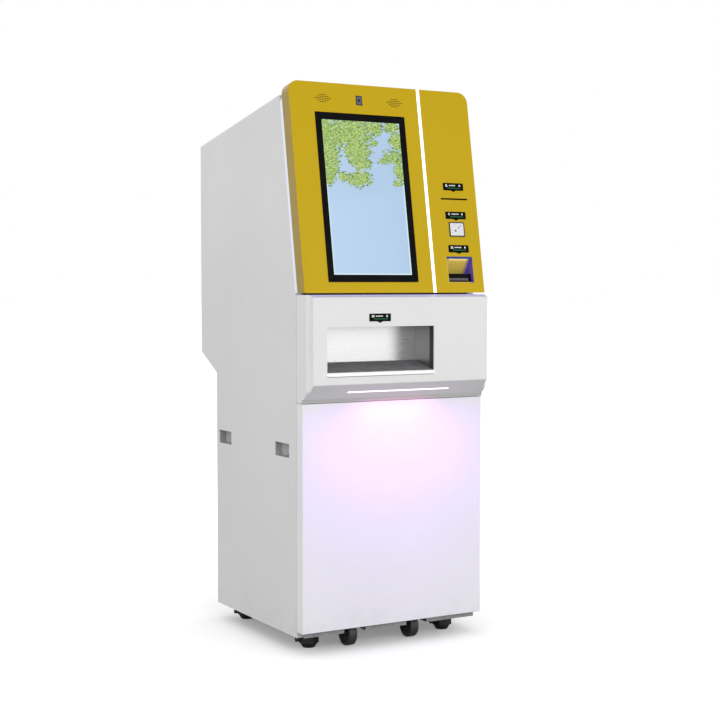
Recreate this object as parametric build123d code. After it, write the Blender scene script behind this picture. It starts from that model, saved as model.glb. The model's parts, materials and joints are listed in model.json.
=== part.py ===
from build123d import *
from math import atan2, cos, degrees, radians, sin, sqrt, tan
import os

# A free-standing self-service cash kiosk: sheet-steel cabinet on feet and casters, a lower front
# door, a raised front housing with a stainless take-out bin, and a tilted fascia door that carries
# the touch screen and the customer devices. Millimetres, +Z up, the customer stands on the -Y side.
# While the pieces are made, y = 0 is the outer face of the lower door; save() moves them to the
# middle of the footprint.

# ---- Driving dimensions: cabinet ----
WIDTH = 630.0              # over the two side panels
SHEET = 2.0                # casing sheet
SEAM = 1.5                 # gap between neighbouring covers
PANEL_BOTTOM = 49.0        # underside of the side panels above the floor
DOOR_BOTTOM = 67.0
DOOR_TOP = 748.0
DOOR_DEPTH = 38.0          # folded edge of the lower door
DOOR_EDGE = 1.5            # fold radius round its face
REAR_Y = 608.5             # back of the lower cabinet
UPPER_REAR_Y = 730.0       # back of the deeper upper cabinet
KNEE_LOW_Z = 810.0         # the back steps out between these two heights
KNEE_HIGH_Z = 874.0
ROOF_REAR_Z = 1554.7
ROOF_SLOPE = 10.4          # degrees, rising to the front
FLANGE = 20.0              # folded edges of the side panels
INLET_PROUD = 2.0          # mains inlet flange on the back

# ---- Driving dimensions: front housing with the take-out bin ----
HOUSING_WALL = 3.0
HOUSING_FRONT_Y = -25.0
HOUSING_TOP = 1068.0
SLAB_FRONT_Y = -49.0       # raised front slab
SLAB_INSET = 10.5          # slab edge in from the housing's side
SLAB_BOTTOM = 804.5
SLAB_TOP = 1061.0
SLOPE_FOOT_Y = -5.0        # the sloped underside ends here ...
SLOPE_FOOT_Z = 761.0       # ... at this height
WINDOW_LEFT = -259.0       # left edge of the take-out window
WINDOW_WIDTH = 368.0
WINDOW_BOTTOM = 840.0
WINDOW_TOP = 974.0
BIN_DEPTH = 112.0          # slab face to the bin's back wall
BIN_SHEET = 1.5
BIN_FLOOR_RISE = 24.0
LIP_HEIGHT = 10.5
LIP_PROUD = 3.0
LEDGE_LIGHT_LENGTH = 356.0
LEDGE_LIGHT_WIDTH = 6.0
LEDGE_LIGHT_THICK = 4.0
CORE_CORNER = 24.0         # rounding of the housing's cheek
SLAB_CORNER = 5.0          # rounding of the slab's lower edge
SLAB_EDGE = 1.5            # rounding of the slab's upright edges
BIN_LABEL_X = -81.0
BIN_LABEL_GAP = 15.5       # window's top edge to the sign plate's pointer

# ---- Driving dimensions: fascia door ----
TILT = 9.64                # degrees from upright
FASCIA_OVERHANG = 1.0      # fascia past the side panels, each side
FASCIA_LENGTH = 636.8      # along the slope
FASCIA_BOTTOM_Y = -17.3
FASCIA_BOTTOM_Z = 1073.4
FASCIA_DEPTH = 46.0
FASCIA_CORNER = 34.0
FASCIA_EDGE = 1.5          # fold radius round the face
FASCIA_GAP = 1.6           # fascia's back edge to the light band
LIGHT_DEPTH = 14.0         # translucent band behind the fascia
BAND_GAP = 0.4             # light band to the cabinet's tilted front
LIGHT_TOP = 612.0          # its top, along the slope
LIGHT_BAND = 14.0
DIVIDER_X = 133.3
DIVIDER_WIDTH = 10.6
SCREEN_X = -79.0
SCREEN_U = 289.0           # middle of the screen, up the slope
SCREEN_WIDTH = 311.0
SCREEN_HEIGHT = 513.0
BEZEL_SIDE = 20.5          # bezel's border beside the lit picture ...
BEZEL_END = 22.0           # ... and above and below it
GLASS_SHEET = 3.0
GLASS_INSET = 1.0          # glass face below the fascia's face
BEZEL_PROUD = 1.2
BEZEL_DEPTH = 8.0
SPEAKER_OFFSET = 124.0
SPEAKER_U = 587.5
CAMERA_WIDTH = 22.0
CAMERA_HEIGHT = 30.0
DEVICE_X = 233.0
LABEL_WIDTH = 74.0
LABEL_HEIGHT = 23.0
LABEL_POINT = 4.5
LABEL_SHEET = 1.0
LABEL_US = (332.5, 242.0, 137.0)
RECEIPT_U = 293.7
RECEIPT_WIDTH = 98.0
RECEIPT_HEIGHT = 5.0
RECEIPT_SLIT = 82.0
READER_U = 198.0
READER_WIDTH = 56.0
READER_HEIGHT = 46.0
READER_BORDER = 3.0
POCKET_U = 71.8
POCKET_WIDTH = 95.0
POCKET_HEIGHT = 82.0
POCKET_DEPTH = 42.0
POCKET_BACK_FOOT = 32.0    # upright part of the pocket's back wall
MOUTH_HEIGHT = 27.0        # outlet block in the pocket's foot
MOUTH_FACE = -12.0
SHUTTER_TRAVEL = 9.0
ROLL_RADIUS = 28.0
ROLL_WIDTH = 80.0
SPINDLE_RADIUS = 6.0
ROLL_N = -78.0             # paper roll's axis behind the fascia's face
CHEEK = 3.0

# ---- Driving dimensions: running gear ----
FOOT_X = 240.0
FOOT_YS = (107.0, 544.0)
FOOT_RADIUS = 32.0
STEM_RADIUS = 8.0
CASTER_XS = (-128.0, 91.0)
CASTER_YS = (64.0, 508.0)  # front: rigid wheel centres; rear: swivel axes
CASTER_TRAIL = 28.0
WHEEL_RADIUS = 37.5
WHEEL_WIDTH = 28.0
FLOOR_GAP = 1.0            # the wheels hang just clear while the feet carry the cabinet
BASE_TOP = 102.0
BASE_HALF_WIDTH = 290.0
BASE_FRONT_Y = 45.0
BASE_SHEET = 3.0
TOE_REACH = 25.0           # toe strip ahead of the base pan
TOE_HEIGHT = 11.0
TOE_OVERHANG = 12.0
CASTER_NOTCH = 18.0        # notch in the toe strip past a front fork, each side
BASE_REAR_INSET = 12.0
CROWN_TOP = 88.0           # top of the caster forks
CROWN_SHEET = 5.0
AXLE_RADIUS = 4.0
KINGPIN_RADIUS = 5.0
RACE_RADIUS = 20.0
ARM_GAP = 2.0
ARM_SHEET = 3.0
TYRE = 8.5
HUB_RADIUS = 11.0
PAD_HEIGHT = 15.0
NUT_TOP = 38.0
POST = 22.0                # inner frame tube
SHELF_FRONT_Y = 150.0

# ---- Driving dimensions: inside the cabinet ----
CASE_HALF = 190.0          # dispenser case
CASE_FRONT = 110.0
CASE_REAR = 540.0
CASE_TOP = 560.0
CASE_WALL = 3.0
CASSETTES = 3
ELEVATOR_DEPTH = 36.0
HOOD_HEIGHT = 46.0
UNIT_FRONT_Y = 230.0       # computer and power unit on the shelf
COMPUTER_X = -130.0
COMPUTER_WIDTH = 220.0
COMPUTER_DEPTH = 200.0
COMPUTER_HEIGHT = 48.0
FIN_HEIGHT = 12.0
FINS = 12
POWER_X = 120.0
POWER_WIDTH = 160.0
POWER_DEPTH = 170.0
POWER_HEIGHT = 55.0
INLET_X = 203.0
INLET_RISE = 38.0          # inlet's middle above the knee
INLET_WIDTH = 46.0
INLET_HEIGHT = 24.0
INLET_FLANGE = 5.0
INLET_DEPTH = 28.0
SOCKET_WIDTH = 26.0
SOCKET_HEIGHT = 16.0
SOCKET_DEPTH = 16.0

# ---- Driving dimensions: fits ----
PIN_RADIUS = 3.0
PIN_CLEARANCE = 0.05       # radial, pin in barrel
BARREL_RADIUS = 5.0
BODY_GAP = 0.5             # between pieces that move apart
GRIP_LENGTH = 93.0
GRIP_HEIGHT = 42.0
GRIP_DEPTH = 24.0
GRIP_Z = 602.5
GRIP_YS = (134.5, 543.0)


# ---- Driving dimensions: hinges, bolts and lock ----
LEAF_SHEET = 3.0           # hinge leaf stock
HINGE_HEIGHT = 36.0
LOWER_HINGE_MARGIN = 90.0
FASCIA_HINGE_MARGIN = 115.0
HINGE_FORWARD = 30.0       # hinge line ahead of the folded edge, so the edge swings clear
LUG = 4.0                  # thickness of a pin's lug
LUG_GAP = 0.3
BOLT_RADIUS = 6.0
BOLT_TRAVEL = 14.0
BOLT_INSET = 48.0          # door bolt in from the cabinet's left side
FASCIA_BOLT_U = 300.0
FASCIA_BOLT_TRAVEL = 12.0
CATCH_GAP = 2.0            # bolts and cam to the edge that they catch behind
KNUCKLE = 20.0
REAR_PIN_RADIUS = 2.5
REAR_BARREL = 4.5
REAR_HINGE_MARGIN = 70.0
LOCK_RADIUS = 9.0
LOCK_INSET = 24.0          # lock in from the side panel's folded edge
LOCK_Z = 430.0
CAM_REACH = 38.0
CAM_HALF = 7.0

# ---- Worked-out sizes ----
HALF = WIDTH / 2
FASCIA_WIDTH = WIDTH + 2 * FASCIA_OVERHANG
WINDOW_X = WINDOW_LEFT + WINDOW_WIDTH / 2
ACTIVE_WIDTH = SCREEN_WIDTH - 2 * BEZEL_SIDE
ACTIVE_HEIGHT = SCREEN_HEIGHT - 2 * BEZEL_END
BOLT_X = -HALF + BOLT_INSET
INNER = HALF - SHEET
SEAM_Y = DOOR_DEPTH + SEAM
HOUSING_BOTTOM = DOOR_TOP + SEAM
SIN_T = sin(radians(TILT))
COS_T = cos(radians(TILT))
LIGHT_FRONT_N = FASCIA_DEPTH + FASCIA_GAP
CABINET_DEPTH_N = LIGHT_FRONT_N + LIGHT_DEPTH + BAND_GAP
CENTRE_Y = (SLAB_FRONT_Y - LIP_PROUD + UPPER_REAR_Y + INLET_PROUD) / 2
ROOF_DROP = tan(radians(ROOF_SLOPE))
POST_OUT = BASE_HALF_WIDTH - BODY_GAP
HINGE_INSET = SHEET + BARREL_RADIUS
DOOR_PIVOT = (HALF - HINGE_INSET, DOOR_DEPTH - HINGE_FORWARD)
FASCIA_PIVOT = (FASCIA_WIDTH / 2 - HINGE_INSET, -(FASCIA_DEPTH - HINGE_FORWARD))
LOWER_HINGES = (DOOR_BOTTOM + LOWER_HINGE_MARGIN, DOOR_TOP - LOWER_HINGE_MARGIN - HINGE_HEIGHT)
FASCIA_HINGES = (FASCIA_HINGE_MARGIN, FASCIA_LENGTH - FASCIA_HINGE_MARGIN - HINGE_HEIGHT)
FRAME_FRONT_N = -SHEET - 10.5          # inner frame of the fascia door
FRAME_SHEET = 3.0
FASCIA_BOLT_TIP = INNER - FLANGE - 2 * CATCH_GAP
FASCIA_BOLT_N = -(CABINET_DEPTH_N + SHEET + BOLT_RADIUS + CATCH_GAP)
POCKET_FOOT = POCKET_U - POCKET_HEIGHT / 2
MOUTH_LOW = POCKET_FOOT + SHEET + 2 * BODY_GAP
MOUTH_HIGH = MOUTH_LOW + MOUTH_HEIGHT
REAR_OPENING = INNER - FLANGE - SEAM   # half width between the folded edges
REAR_DOOR_LOW = PANEL_BOTTOM + SEAM
REAR_DOOR_HIGH = KNEE_LOW_Z - 4.0
REAR_PIVOT = (-(INNER - FLANGE - SEAM / 2), REAR_Y + REAR_BARREL + 0.2)
REAR_HINGES = (REAR_DOOR_LOW + REAR_HINGE_MARGIN, REAR_DOOR_HIGH - REAR_HINGE_MARGIN - 3 * KNUCKLE)
LOCK_X = INNER - FLANGE - LOCK_INSET
SHELF_Z = KNEE_LOW_Z - 3.0
BIN_BACK_Y = SLAB_FRONT_Y + BIN_DEPTH + BIN_SHEET
CASTER_PLATE_Z = BASE_TOP - BASE_SHEET
AXLE_Z = FLOOR_GAP + WHEEL_RADIUS
CASSETTE_PITCH = (CASE_TOP - CASE_WALL - BASE_TOP) / CASSETTES
INLET_Z = KNEE_HIGH_Z + INLET_RISE

# Fascia frame of reference: x across, y up the slope, z outwards from the fascia's front face.
FASCIA_PLANE = Plane(
    origin=(0, FASCIA_BOTTOM_Y, FASCIA_BOTTOM_Z), x_dir=(1, 0, 0), z_dir=(0, -COS_T, SIN_T)
)


# ---- Small helpers ----
def block(x0, x1, y0, y1, z0, z1):
    """Box between two corners."""
    size = Box(x1 - x0, y1 - y0, z1 - z0)
    return Pos((x0 + x1) / 2, (y0 + y1) / 2, (z0 + z1) / 2) * size


def side_outline(points, x0, x1):
    """Solid with an outline in the YZ plane, between two X planes."""
    face = make_face(Polyline(*points, close=True))
    return Pos(x0, 0, 0) * extrude(Plane.YZ * face, amount=x1 - x0)


def upright(x, y, z0, z1, radius):
    return Pos(x, y, (z0 + z1) / 2) * Cylinder(radius, z1 - z0)


def along_x(x0, x1, y, z, radius):
    return Pos((x0 + x1) / 2, y, z) * Rot(0, 90, 0) * Cylinder(radius, x1 - x0)


def along_y(x, y0, y1, z, radius):
    return Pos(x, (y0 + y1) / 2, z) * Rot(90, 0, 0) * Cylinder(radius, y1 - y0)


def on_fascia(shape):
    """Place a shape made in the fascia's own frame."""
    return FASCIA_PLANE.location * shape


def slope_y(z, depth):
    """y at a height on the plane that lies this far behind the fascia's front face."""
    return FASCIA_BOTTOM_Y + (z - FASCIA_BOTTOM_Z) * SIN_T / COS_T + depth / COS_T


def roof_z(y):
    return ROOF_REAR_Z + (UPPER_REAR_Y - y) * ROOF_DROP


def roof_front():
    """Where the roof meets the tilted front plane of the cabinet."""
    lean = SIN_T / COS_T
    y_at_bottom = slope_y(FASCIA_BOTTOM_Z, CABINET_DEPTH_N)
    z = (roof_z(y_at_bottom) + ROOF_DROP * lean * FASCIA_BOTTOM_Z) / (1 + ROOF_DROP * lean)
    return slope_y(z, CABINET_DEPTH_N), z


def save(name, *pieces):
    shape = pieces[0] if len(pieces) == 1 else Compound(list(pieces))
    export_step(Pos(0, -CENTRE_Y, 0) * shape, f"parts/{name}.step")


# ---- Cabinet ----
def panel_outline():
    front_y, front_z = roof_front()
    return [
        (SEAM_Y, PANEL_BOTTOM),
        (SEAM_Y, HOUSING_TOP),
        (slope_y(HOUSING_TOP, CABINET_DEPTH_N), HOUSING_TOP),
        (front_y, front_z),
        (UPPER_REAR_Y, ROOF_REAR_Z),
        (UPPER_REAR_Y, KNEE_HIGH_Z),
        (REAR_Y, KNEE_LOW_Z),
        (REAR_Y, PANEL_BOTTOM),
    ]


def side_panel(side):
    """Side sheet with folded front and rear edges and two grip openings; side is -1 or 1."""
    sheet = side_outline(panel_outline(), INNER, HALF)
    flange_in = INNER - FLANGE
    front = block(flange_in, INNER, SEAM_Y, SEAM_Y + SHEET, PANEL_BOTTOM, HOUSING_TOP)
    rear = block(flange_in, INNER, REAR_Y - SHEET, REAR_Y, PANEL_BOTTOM, KNEE_LOW_Z - 2)
    upper = block(
        flange_in, INNER, UPPER_REAR_Y - SHEET, UPPER_REAR_Y, KNEE_HIGH_Z + 3, ROOF_REAR_Z - 4
    )
    front_y, front_z = roof_front()
    lean = side_outline(
        [
            (slope_y(HOUSING_TOP, CABINET_DEPTH_N), HOUSING_TOP),
            (slope_y(HOUSING_TOP, CABINET_DEPTH_N + SHEET), HOUSING_TOP),
            (slope_y(front_z - 4, CABINET_DEPTH_N + SHEET), front_z - 4),
            (slope_y(front_z - 4, CABINET_DEPTH_N), front_z - 4),
        ],
        flange_in,
        INNER,
    )
    panel = sheet + front + rear + upper + lean
    for y in GRIP_YS:
        hole = block(
            INNER - 1, HALF + 1,
            y - GRIP_LENGTH / 2, y + GRIP_LENGTH / 2,
            GRIP_Z - GRIP_HEIGHT / 2, GRIP_Z + GRIP_HEIGHT / 2,
        )
        panel -= hole
    return panel if side > 0 else mirror(panel, about=Plane.YZ)


def side_grip(side, y):
    """Recessed grip cup behind a side opening, with a round raised disc on its floor."""
    half_l = GRIP_LENGTH / 2
    half_h = GRIP_HEIGHT / 2
    rim = 5.0
    back = HALF - GRIP_DEPTH
    floor_x = back + 1.5
    outer = block(
        back, INNER - PIN_CLEARANCE, y - half_l - rim, y + half_l + rim,
        GRIP_Z - half_h - rim, GRIP_Z + half_h + rim,
    )
    hollow = block(
        floor_x, INNER + 1, y - half_l, y + half_l, GRIP_Z - half_h, GRIP_Z + half_h
    )
    disc_radius = half_h - 1.0
    disc_y = y + half_l - disc_radius - half_h
    cup = outer - hollow + along_x(back + 1, floor_x + rim, disc_y, GRIP_Z, disc_radius)
    return cup if side > 0 else mirror(cup, about=Plane.YZ)


def roof_panel():
    front_y, front_z = roof_front()
    start = slope_y(front_z - SHEET, CABINET_DEPTH_N + SHEET + 0.5)
    return side_outline(
        [
            (start, roof_z(start)),
            (UPPER_REAR_Y, ROOF_REAR_Z),
            (UPPER_REAR_Y, ROOF_REAR_Z - SHEET),
            (start, roof_z(start) - SHEET),
        ],
        -INNER + BODY_GAP,
        INNER - BODY_GAP,
    )


def cooling_slots(centres, back_y, low_z):
    """Cutters for a bank of level slots through a sheet."""
    half = 70.0
    rows = 8
    pitch = 15.0
    height = 5.0
    return [
        block(x - half, x + half, back_y - SHEET - 1, back_y + 1, z, z + height)
        for x in centres
        for z in [low_z + row * pitch for row in range(rows)]
    ]


def inlet_block(width, height, y0, y1):
    """Block about the mains inlet's middle."""
    return block(
        INLET_X - width / 2, INLET_X + width / 2, y0, y1, INLET_Z - height / 2, INLET_Z + height / 2
    )


def rear_cover():
    """Upper back cover with two banks of cooling slots and the inlet's hole."""
    top = ROOF_REAR_Z - 6
    cover = block(
        -REAR_OPENING, REAR_OPENING, UPPER_REAR_Y - SHEET, UPPER_REAR_Y, KNEE_HIGH_Z + 2, top
    )
    for low_z in (KNEE_HIGH_Z + 70, top - 190):
        for slot in cooling_slots((-170, 0, 170), UPPER_REAR_Y, low_z):
            cover -= slot
    return cover - inlet_block(
        INLET_WIDTH + 2 * BODY_GAP, INLET_HEIGHT + 2 * BODY_GAP, UPPER_REAR_Y - 5, UPPER_REAR_Y + 1
    )


def knee_panel():
    """Sloped back plate under the deeper upper cabinet."""
    run = UPPER_REAR_Y - REAR_Y
    rise = KNEE_HIGH_Z - KNEE_LOW_Z
    length = sqrt(run * run + rise * rise)
    dy = -rise / length * SHEET
    dz = run / length * SHEET
    return side_outline(
        [
            (REAR_Y, KNEE_LOW_Z),
            (UPPER_REAR_Y, KNEE_HIGH_Z),
            (UPPER_REAR_Y + dy, KNEE_HIGH_Z + dz),
            (REAR_Y + dy, KNEE_LOW_Z + dz),
        ],
        -INNER + BODY_GAP,
        INNER - BODY_GAP,
    )


def base_pan():
    """Folded base tray with a skirt, an inward lip, foot sockets and stem holes."""
    rear = REAR_Y - BASE_REAR_INSET
    wall = BASE_SHEET
    bottom = PANEL_BOTTOM + 1
    half = BASE_HALF_WIDTH
    front = BASE_FRONT_Y
    pan = block(-half, half, front, rear, bottom, BASE_TOP)
    pan -= block(-half + wall, half - wall, front + wall, rear - wall, bottom + wall, BASE_TOP - wall)
    lip = 16.0
    pan -= block(-half + lip, half - lip, front + lip, rear - lip, bottom - 1, bottom + wall + 1)
    toe_y = front - TOE_REACH
    toe_half = half + TOE_OVERHANG
    pan += block(-toe_half, toe_half, toe_y, toe_y + SHEET, bottom, bottom + TOE_HEIGHT)
    pan += block(-half, half, toe_y, front + 1, bottom, bottom + SHEET)
    for x in CASTER_XS:
        slot = WHEEL_WIDTH / 2 + ARM_GAP + ARM_SHEET + CASTER_NOTCH
        pan -= block(x - slot, x + slot, toe_y - 1, front + lip + 1, bottom - 1, CROWN_TOP - 2)
    for x in (-FOOT_X, FOOT_X):
        for y in FOOT_YS:
            pan += upright(x, y, BASE_TOP - 40, BASE_TOP - wall / 2, STEM_RADIUS * 1.8)
            pan -= upright(x, y, bottom - 1, BASE_TOP + 1, STEM_RADIUS + PIN_CLEARANCE)
    return pan


def inner_frame():
    """Welded uprights and cross rails that carry the panels, shelves and modules."""
    front = SEAM_Y + SHEET + LEAF_SHEET + 0.1
    rear = REAR_Y - SHEET - 8
    upper_front = slope_y(HOUSING_TOP, CABINET_DEPTH_N + SHEET) + 8
    upper_rear = UPPER_REAR_Y - SHEET - 1
    rail_low = KNEE_LOW_Z - 3 - POST
    rail_high = HOUSING_TOP - 3 - POST
    pieces = []
    for side in (-1, 1):
        x0, x1 = sorted((side * (POST_OUT - POST), side * POST_OUT))
        pieces += [
            block(x0, x1, front, front + POST, BASE_TOP, HOUSING_TOP - 3),
            block(x0, x1, rear - POST, rear, BASE_TOP, KNEE_LOW_Z - 3),
            block(x0, x1, front + 1, rear - 1, rail_low, rail_low + POST),
            block(x0, x1, upper_front, upper_rear, rail_high, rail_high + POST),
            block(x0, x1, upper_rear - POST, upper_rear, KNEE_HIGH_Z + 12, ROOF_REAR_Z - 14),
            block(x0, x1, rear - POST, rear, KNEE_LOW_Z - 4, rail_high + 1),
        ]
    reach = POST_OUT - POST + 1
    pieces.append(block(-reach, reach, rear - POST, rear, rail_low, rail_low + POST))
    pieces.append(block(-reach, reach, upper_rear - POST, upper_rear, rail_high, rail_high + POST))
    frame = pieces[0]
    for piece in pieces[1:]:
        frame = frame + piece
    return frame


def equipment_shelf():
    """Folded shelf above the dispenser that carries the computer and the power unit."""
    half = POST_OUT
    rear = REAR_Y - SHEET - 8 - POST - 1
    fold = 18.0
    top = block(-half, half, SHELF_FRONT_Y, rear, SHELF_Z, SHELF_Z + SHEET)
    return top + block(
        -half + POST + 1, half - POST - 1, rear - SHEET, rear, SHELF_Z, SHELF_Z + fold
    )


# ---- Front housing ----
def housing_core_outline():
    """Full-width part of the housing, seen from the side."""
    return [
        (DOOR_DEPTH, HOUSING_TOP),
        (HOUSING_FRONT_Y, HOUSING_TOP),
        (HOUSING_FRONT_Y, slope_line_z(HOUSING_FRONT_Y)),
        (SLOPE_FOOT_Y, SLOPE_FOOT_Z),
        (SLOPE_FOOT_Y + 3, HOUSING_BOTTOM),
        (DOOR_DEPTH, HOUSING_BOTTOM),
    ]


def slab_outline():
    """Raised slab: sloped top edge, upright face, sloped underside."""
    return [
        (SLOPE_FOOT_Y, HOUSING_TOP),
        (HOUSING_FRONT_Y, HOUSING_TOP),
        (SLAB_FRONT_Y, SLAB_TOP),
        (SLAB_FRONT_Y, SLAB_BOTTOM),
        (SLOPE_FOOT_Y, SLOPE_FOOT_Z),
    ]


def slope_line_z(y):
    """Height of the sloped underside at a depth."""
    share = (y - SLAB_FRONT_Y) / (SLOPE_FOOT_Y - SLAB_FRONT_Y)
    return SLAB_BOTTOM + share * (SLOPE_FOOT_Z - SLAB_BOTTOM)


def rounded_outline(points, corner, radius, inset, half):
    """Side outline with one rounded corner, shrunk by a wall, as a bar across the machine."""
    face = make_face(Polyline(*points, close=True))
    sharp = face.vertices().sort_by_distance((corner[0], corner[1], 0))[0]
    face = fillet(sharp, radius)
    if inset:
        face = offset(face, amount=-inset, kind=Kind.INTERSECTION)
    return extrude(Plane.YZ * face, amount=half, both=True)


def housing_form(inset):
    core_corner = (HOUSING_FRONT_Y, slope_line_z(HOUSING_FRONT_Y))
    core = rounded_outline(housing_core_outline(), core_corner, CORE_CORNER, inset, HALF - inset)
    slab_half = HALF - SLAB_INSET - inset
    slab_corner = (SLAB_FRONT_Y, SLAB_BOTTOM)
    slab = rounded_outline(slab_outline(), slab_corner, SLAB_CORNER, inset, slab_half)
    front_edges = slab.edges().filter_by(Axis.Z).group_by(Axis.Y)[0]
    return core + fillet(front_edges, SLAB_EDGE)


def mid_housing():
    """Moulded front housing: raised slab with the take-out window and a sloped underside."""
    shell = housing_form(0) - housing_form(HOUSING_WALL)
    wall = HOUSING_WALL
    shell -= block(
        -HALF + wall, HALF - wall, DOOR_DEPTH - wall - 1, DOOR_DEPTH + 1,
        HOUSING_BOTTOM + wall, HOUSING_TOP - wall,
    )
    half = WINDOW_WIDTH / 2
    shell -= block(
        WINDOW_X - half, WINDOW_X + half, SLAB_FRONT_Y - 1, SLAB_FRONT_Y + wall + 5,
        WINDOW_BOTTOM - LIP_HEIGHT, WINDOW_TOP,
    )
    reach = BOLT_RADIUS + 2 * BODY_GAP
    strike = block(
        BOLT_X - reach, BOLT_X + reach, DOOR_DEPTH / 2 - reach, DOOR_DEPTH / 2 + reach,
        HOUSING_BOTTOM - 1, HOUSING_BOTTOM + wall + 1,
    )
    return shell - ledge_light_blank(PIN_CLEARANCE) - strike


def ledge_light_blank(grow):
    """Round-ended bar let into the sloped underside."""
    y = (SLAB_FRONT_Y + SLOPE_FOOT_Y) / 2 + 2.5
    width = LEDGE_LIGHT_WIDTH + 2 * grow
    length = LEDGE_LIGHT_LENGTH + 2 * grow
    bar = extrude(SlotOverall(length, width), amount=LEDGE_LIGHT_THICK + grow, both=True)
    fall = degrees(atan2(SLAB_BOTTOM - SLOPE_FOOT_Z, SLOPE_FOOT_Y - SLAB_FRONT_Y))
    return Pos(0, y, slope_line_z(y)) * Rot(-fall, 0, 0) * bar


def ledge_light():
    """Diffuser bar, flush with the sloped underside."""
    return ledge_light_blank(0) & housing_form(0)


def takeout_bin():
    """Open-fronted stainless tray whose floor rises to the back."""
    half = WINDOW_WIDTH / 2
    gap = BODY_GAP / 2
    sheet = BIN_SHEET
    front = SLAB_FRONT_Y + HOUSING_WALL + gap
    back = BIN_BACK_Y - sheet
    x0 = WINDOW_X - half - sheet
    x1 = WINDOW_X + half + sheet
    top = WINDOW_TOP + sheet
    outer = side_outline(
        [
            (front, WINDOW_BOTTOM - sheet),
            (front, top),
            (back + sheet, top),
            (back + sheet, WINDOW_BOTTOM + BIN_FLOOR_RISE - sheet),
        ],
        x0,
        x1,
    )
    hollow = side_outline(
        [
            (front - 1, WINDOW_BOTTOM),
            (front - 1, WINDOW_TOP),
            (back, WINDOW_TOP),
            (back, WINDOW_BOTTOM + BIN_FLOOR_RISE),
        ],
        x0 + sheet,
        x1 - sheet,
    )
    return outer - hollow


def bin_lip():
    """Round-ended bar along the window's lower edge."""
    length = WINDOW_WIDTH + 4
    z = WINDOW_BOTTOM - LIP_HEIGHT / 2 - BODY_GAP / 2
    profile = SlotOverall(length, LIP_HEIGHT - BODY_GAP)
    bar = extrude(Plane.XZ * profile, amount=LIP_PROUD)
    tongue = block(
        -length / 2 + 8, length / 2 - 8, 0, HOUSING_WALL, -LIP_HEIGHT / 2 + 1.5, LIP_HEIGHT / 2 - 1.5
    )
    return Pos(WINDOW_X, SLAB_FRONT_Y, z) * (bar + tongue)


def label_shape():
    """Sign plate with clipped corners and a small pointer below, lying in XY."""
    foot = -LABEL_HEIGHT / 2
    half = LABEL_WIDTH / 6
    plate = RectangleRounded(LABEL_WIDTH, LABEL_HEIGHT, 2.5)
    pointer = make_face(
        Polyline((-half, foot + 1), (half, foot + 1), (0, foot - LABEL_POINT), close=True)
    )
    return extrude(plate + pointer, amount=LABEL_SHEET)


def bin_label():
    z = WINDOW_TOP + BIN_LABEL_GAP + LABEL_HEIGHT / 2
    return Pos(BIN_LABEL_X, SLAB_FRONT_Y, z) * Rot(90, 0, 0) * label_shape()


# ---- Light band behind the fascia ----
def fascia_outline(top, shrink):
    """Plate outline with two rounded upper corners; the foot runs below the fascia's edge."""
    half = FASCIA_WIDTH / 2 - shrink
    low = -30.0
    plate = Pos(0, (top - shrink + low) / 2) * Rectangle(2 * half, top - shrink - low)
    upper = plate.vertices().group_by(Axis.Y)[-1]
    return fillet(upper, FASCIA_CORNER - min(shrink, FASCIA_CORNER / 2))


def cut_level(shape, z):
    """Trim what lies below a height, in the machine's frame."""
    return shape - block(-HALF - 50, HALF + 50, -200, UPPER_REAR_Y, z - 300, z)


def light_band():
    """Translucent ring between the fascia door and the cabinet."""
    back = LIGHT_FRONT_N + LIGHT_DEPTH
    ring = fascia_outline(LIGHT_TOP, 1.0) - fascia_outline(LIGHT_TOP, 1.0 + LIGHT_BAND)
    band = Pos(0, 0, -back) * extrude(ring, amount=LIGHT_DEPTH)
    band = cut_level(on_fascia(band), FASCIA_BOTTOM_Z)
    bar = block(
        -HALF + 2, HALF - 2,
        slope_y(FASCIA_BOTTOM_Z, LIGHT_FRONT_N) + 2.5, slope_y(FASCIA_BOTTOM_Z, back) - 1,
        FASCIA_BOTTOM_Z, FASCIA_BOTTOM_Z + LIGHT_BAND,
    )
    return band + bar


# ---- Doors ----
def gooseneck(pivot_x, pivot_y, reach, z0, z1):
    """Fixed hinge leaf: barrel, arm along the door, run back past the folded edge, fixing foot."""
    thick = LEAF_SHEET
    bend_x = pivot_x - HINGE_FORWARD - 8
    barrel = upright(pivot_x, pivot_y, z0, z1, BARREL_RADIUS)
    arm = block(bend_x, pivot_x - 2, pivot_y - thick / 2, pivot_y + thick / 2, z0, z1)
    back = block(bend_x - thick, bend_x, pivot_y - thick / 2, reach + thick, z0, z1)
    foot = block(bend_x - thick, INNER - 4, reach, reach + thick, z0, z1)
    return barrel + arm + back + foot - upright(
        pivot_x, pivot_y, z0 - 1, z1 + 1, PIN_RADIUS + PIN_CLEARANCE
    )


def door_hinge_leaves():
    """The two fixed leaves of the lower door."""
    x, y = DOOR_PIVOT
    return [gooseneck(x, y, SEAM_Y + SHEET, z, z + HINGE_HEIGHT) for z in LOWER_HINGES]


def hinge_pin(x, y, z0, z1, wall_x):
    """Pin fixed in two door lugs, above and below a fixed barrel."""
    bottom = z0 - LUG - LUG_GAP
    top = z1 + LUG + LUG_GAP
    reach = BARREL_RADIUS
    piece = upright(x, y, bottom, top, PIN_RADIUS)
    for low in (bottom, top - LUG):
        piece += block(x - reach, wall_x, y - reach, y + reach, low, low + LUG)
    return piece


def lower_door_pins():
    x, y = DOOR_PIVOT
    return [hinge_pin(x, y, z, z + HINGE_HEIGHT, INNER) for z in LOWER_HINGES]


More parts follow.
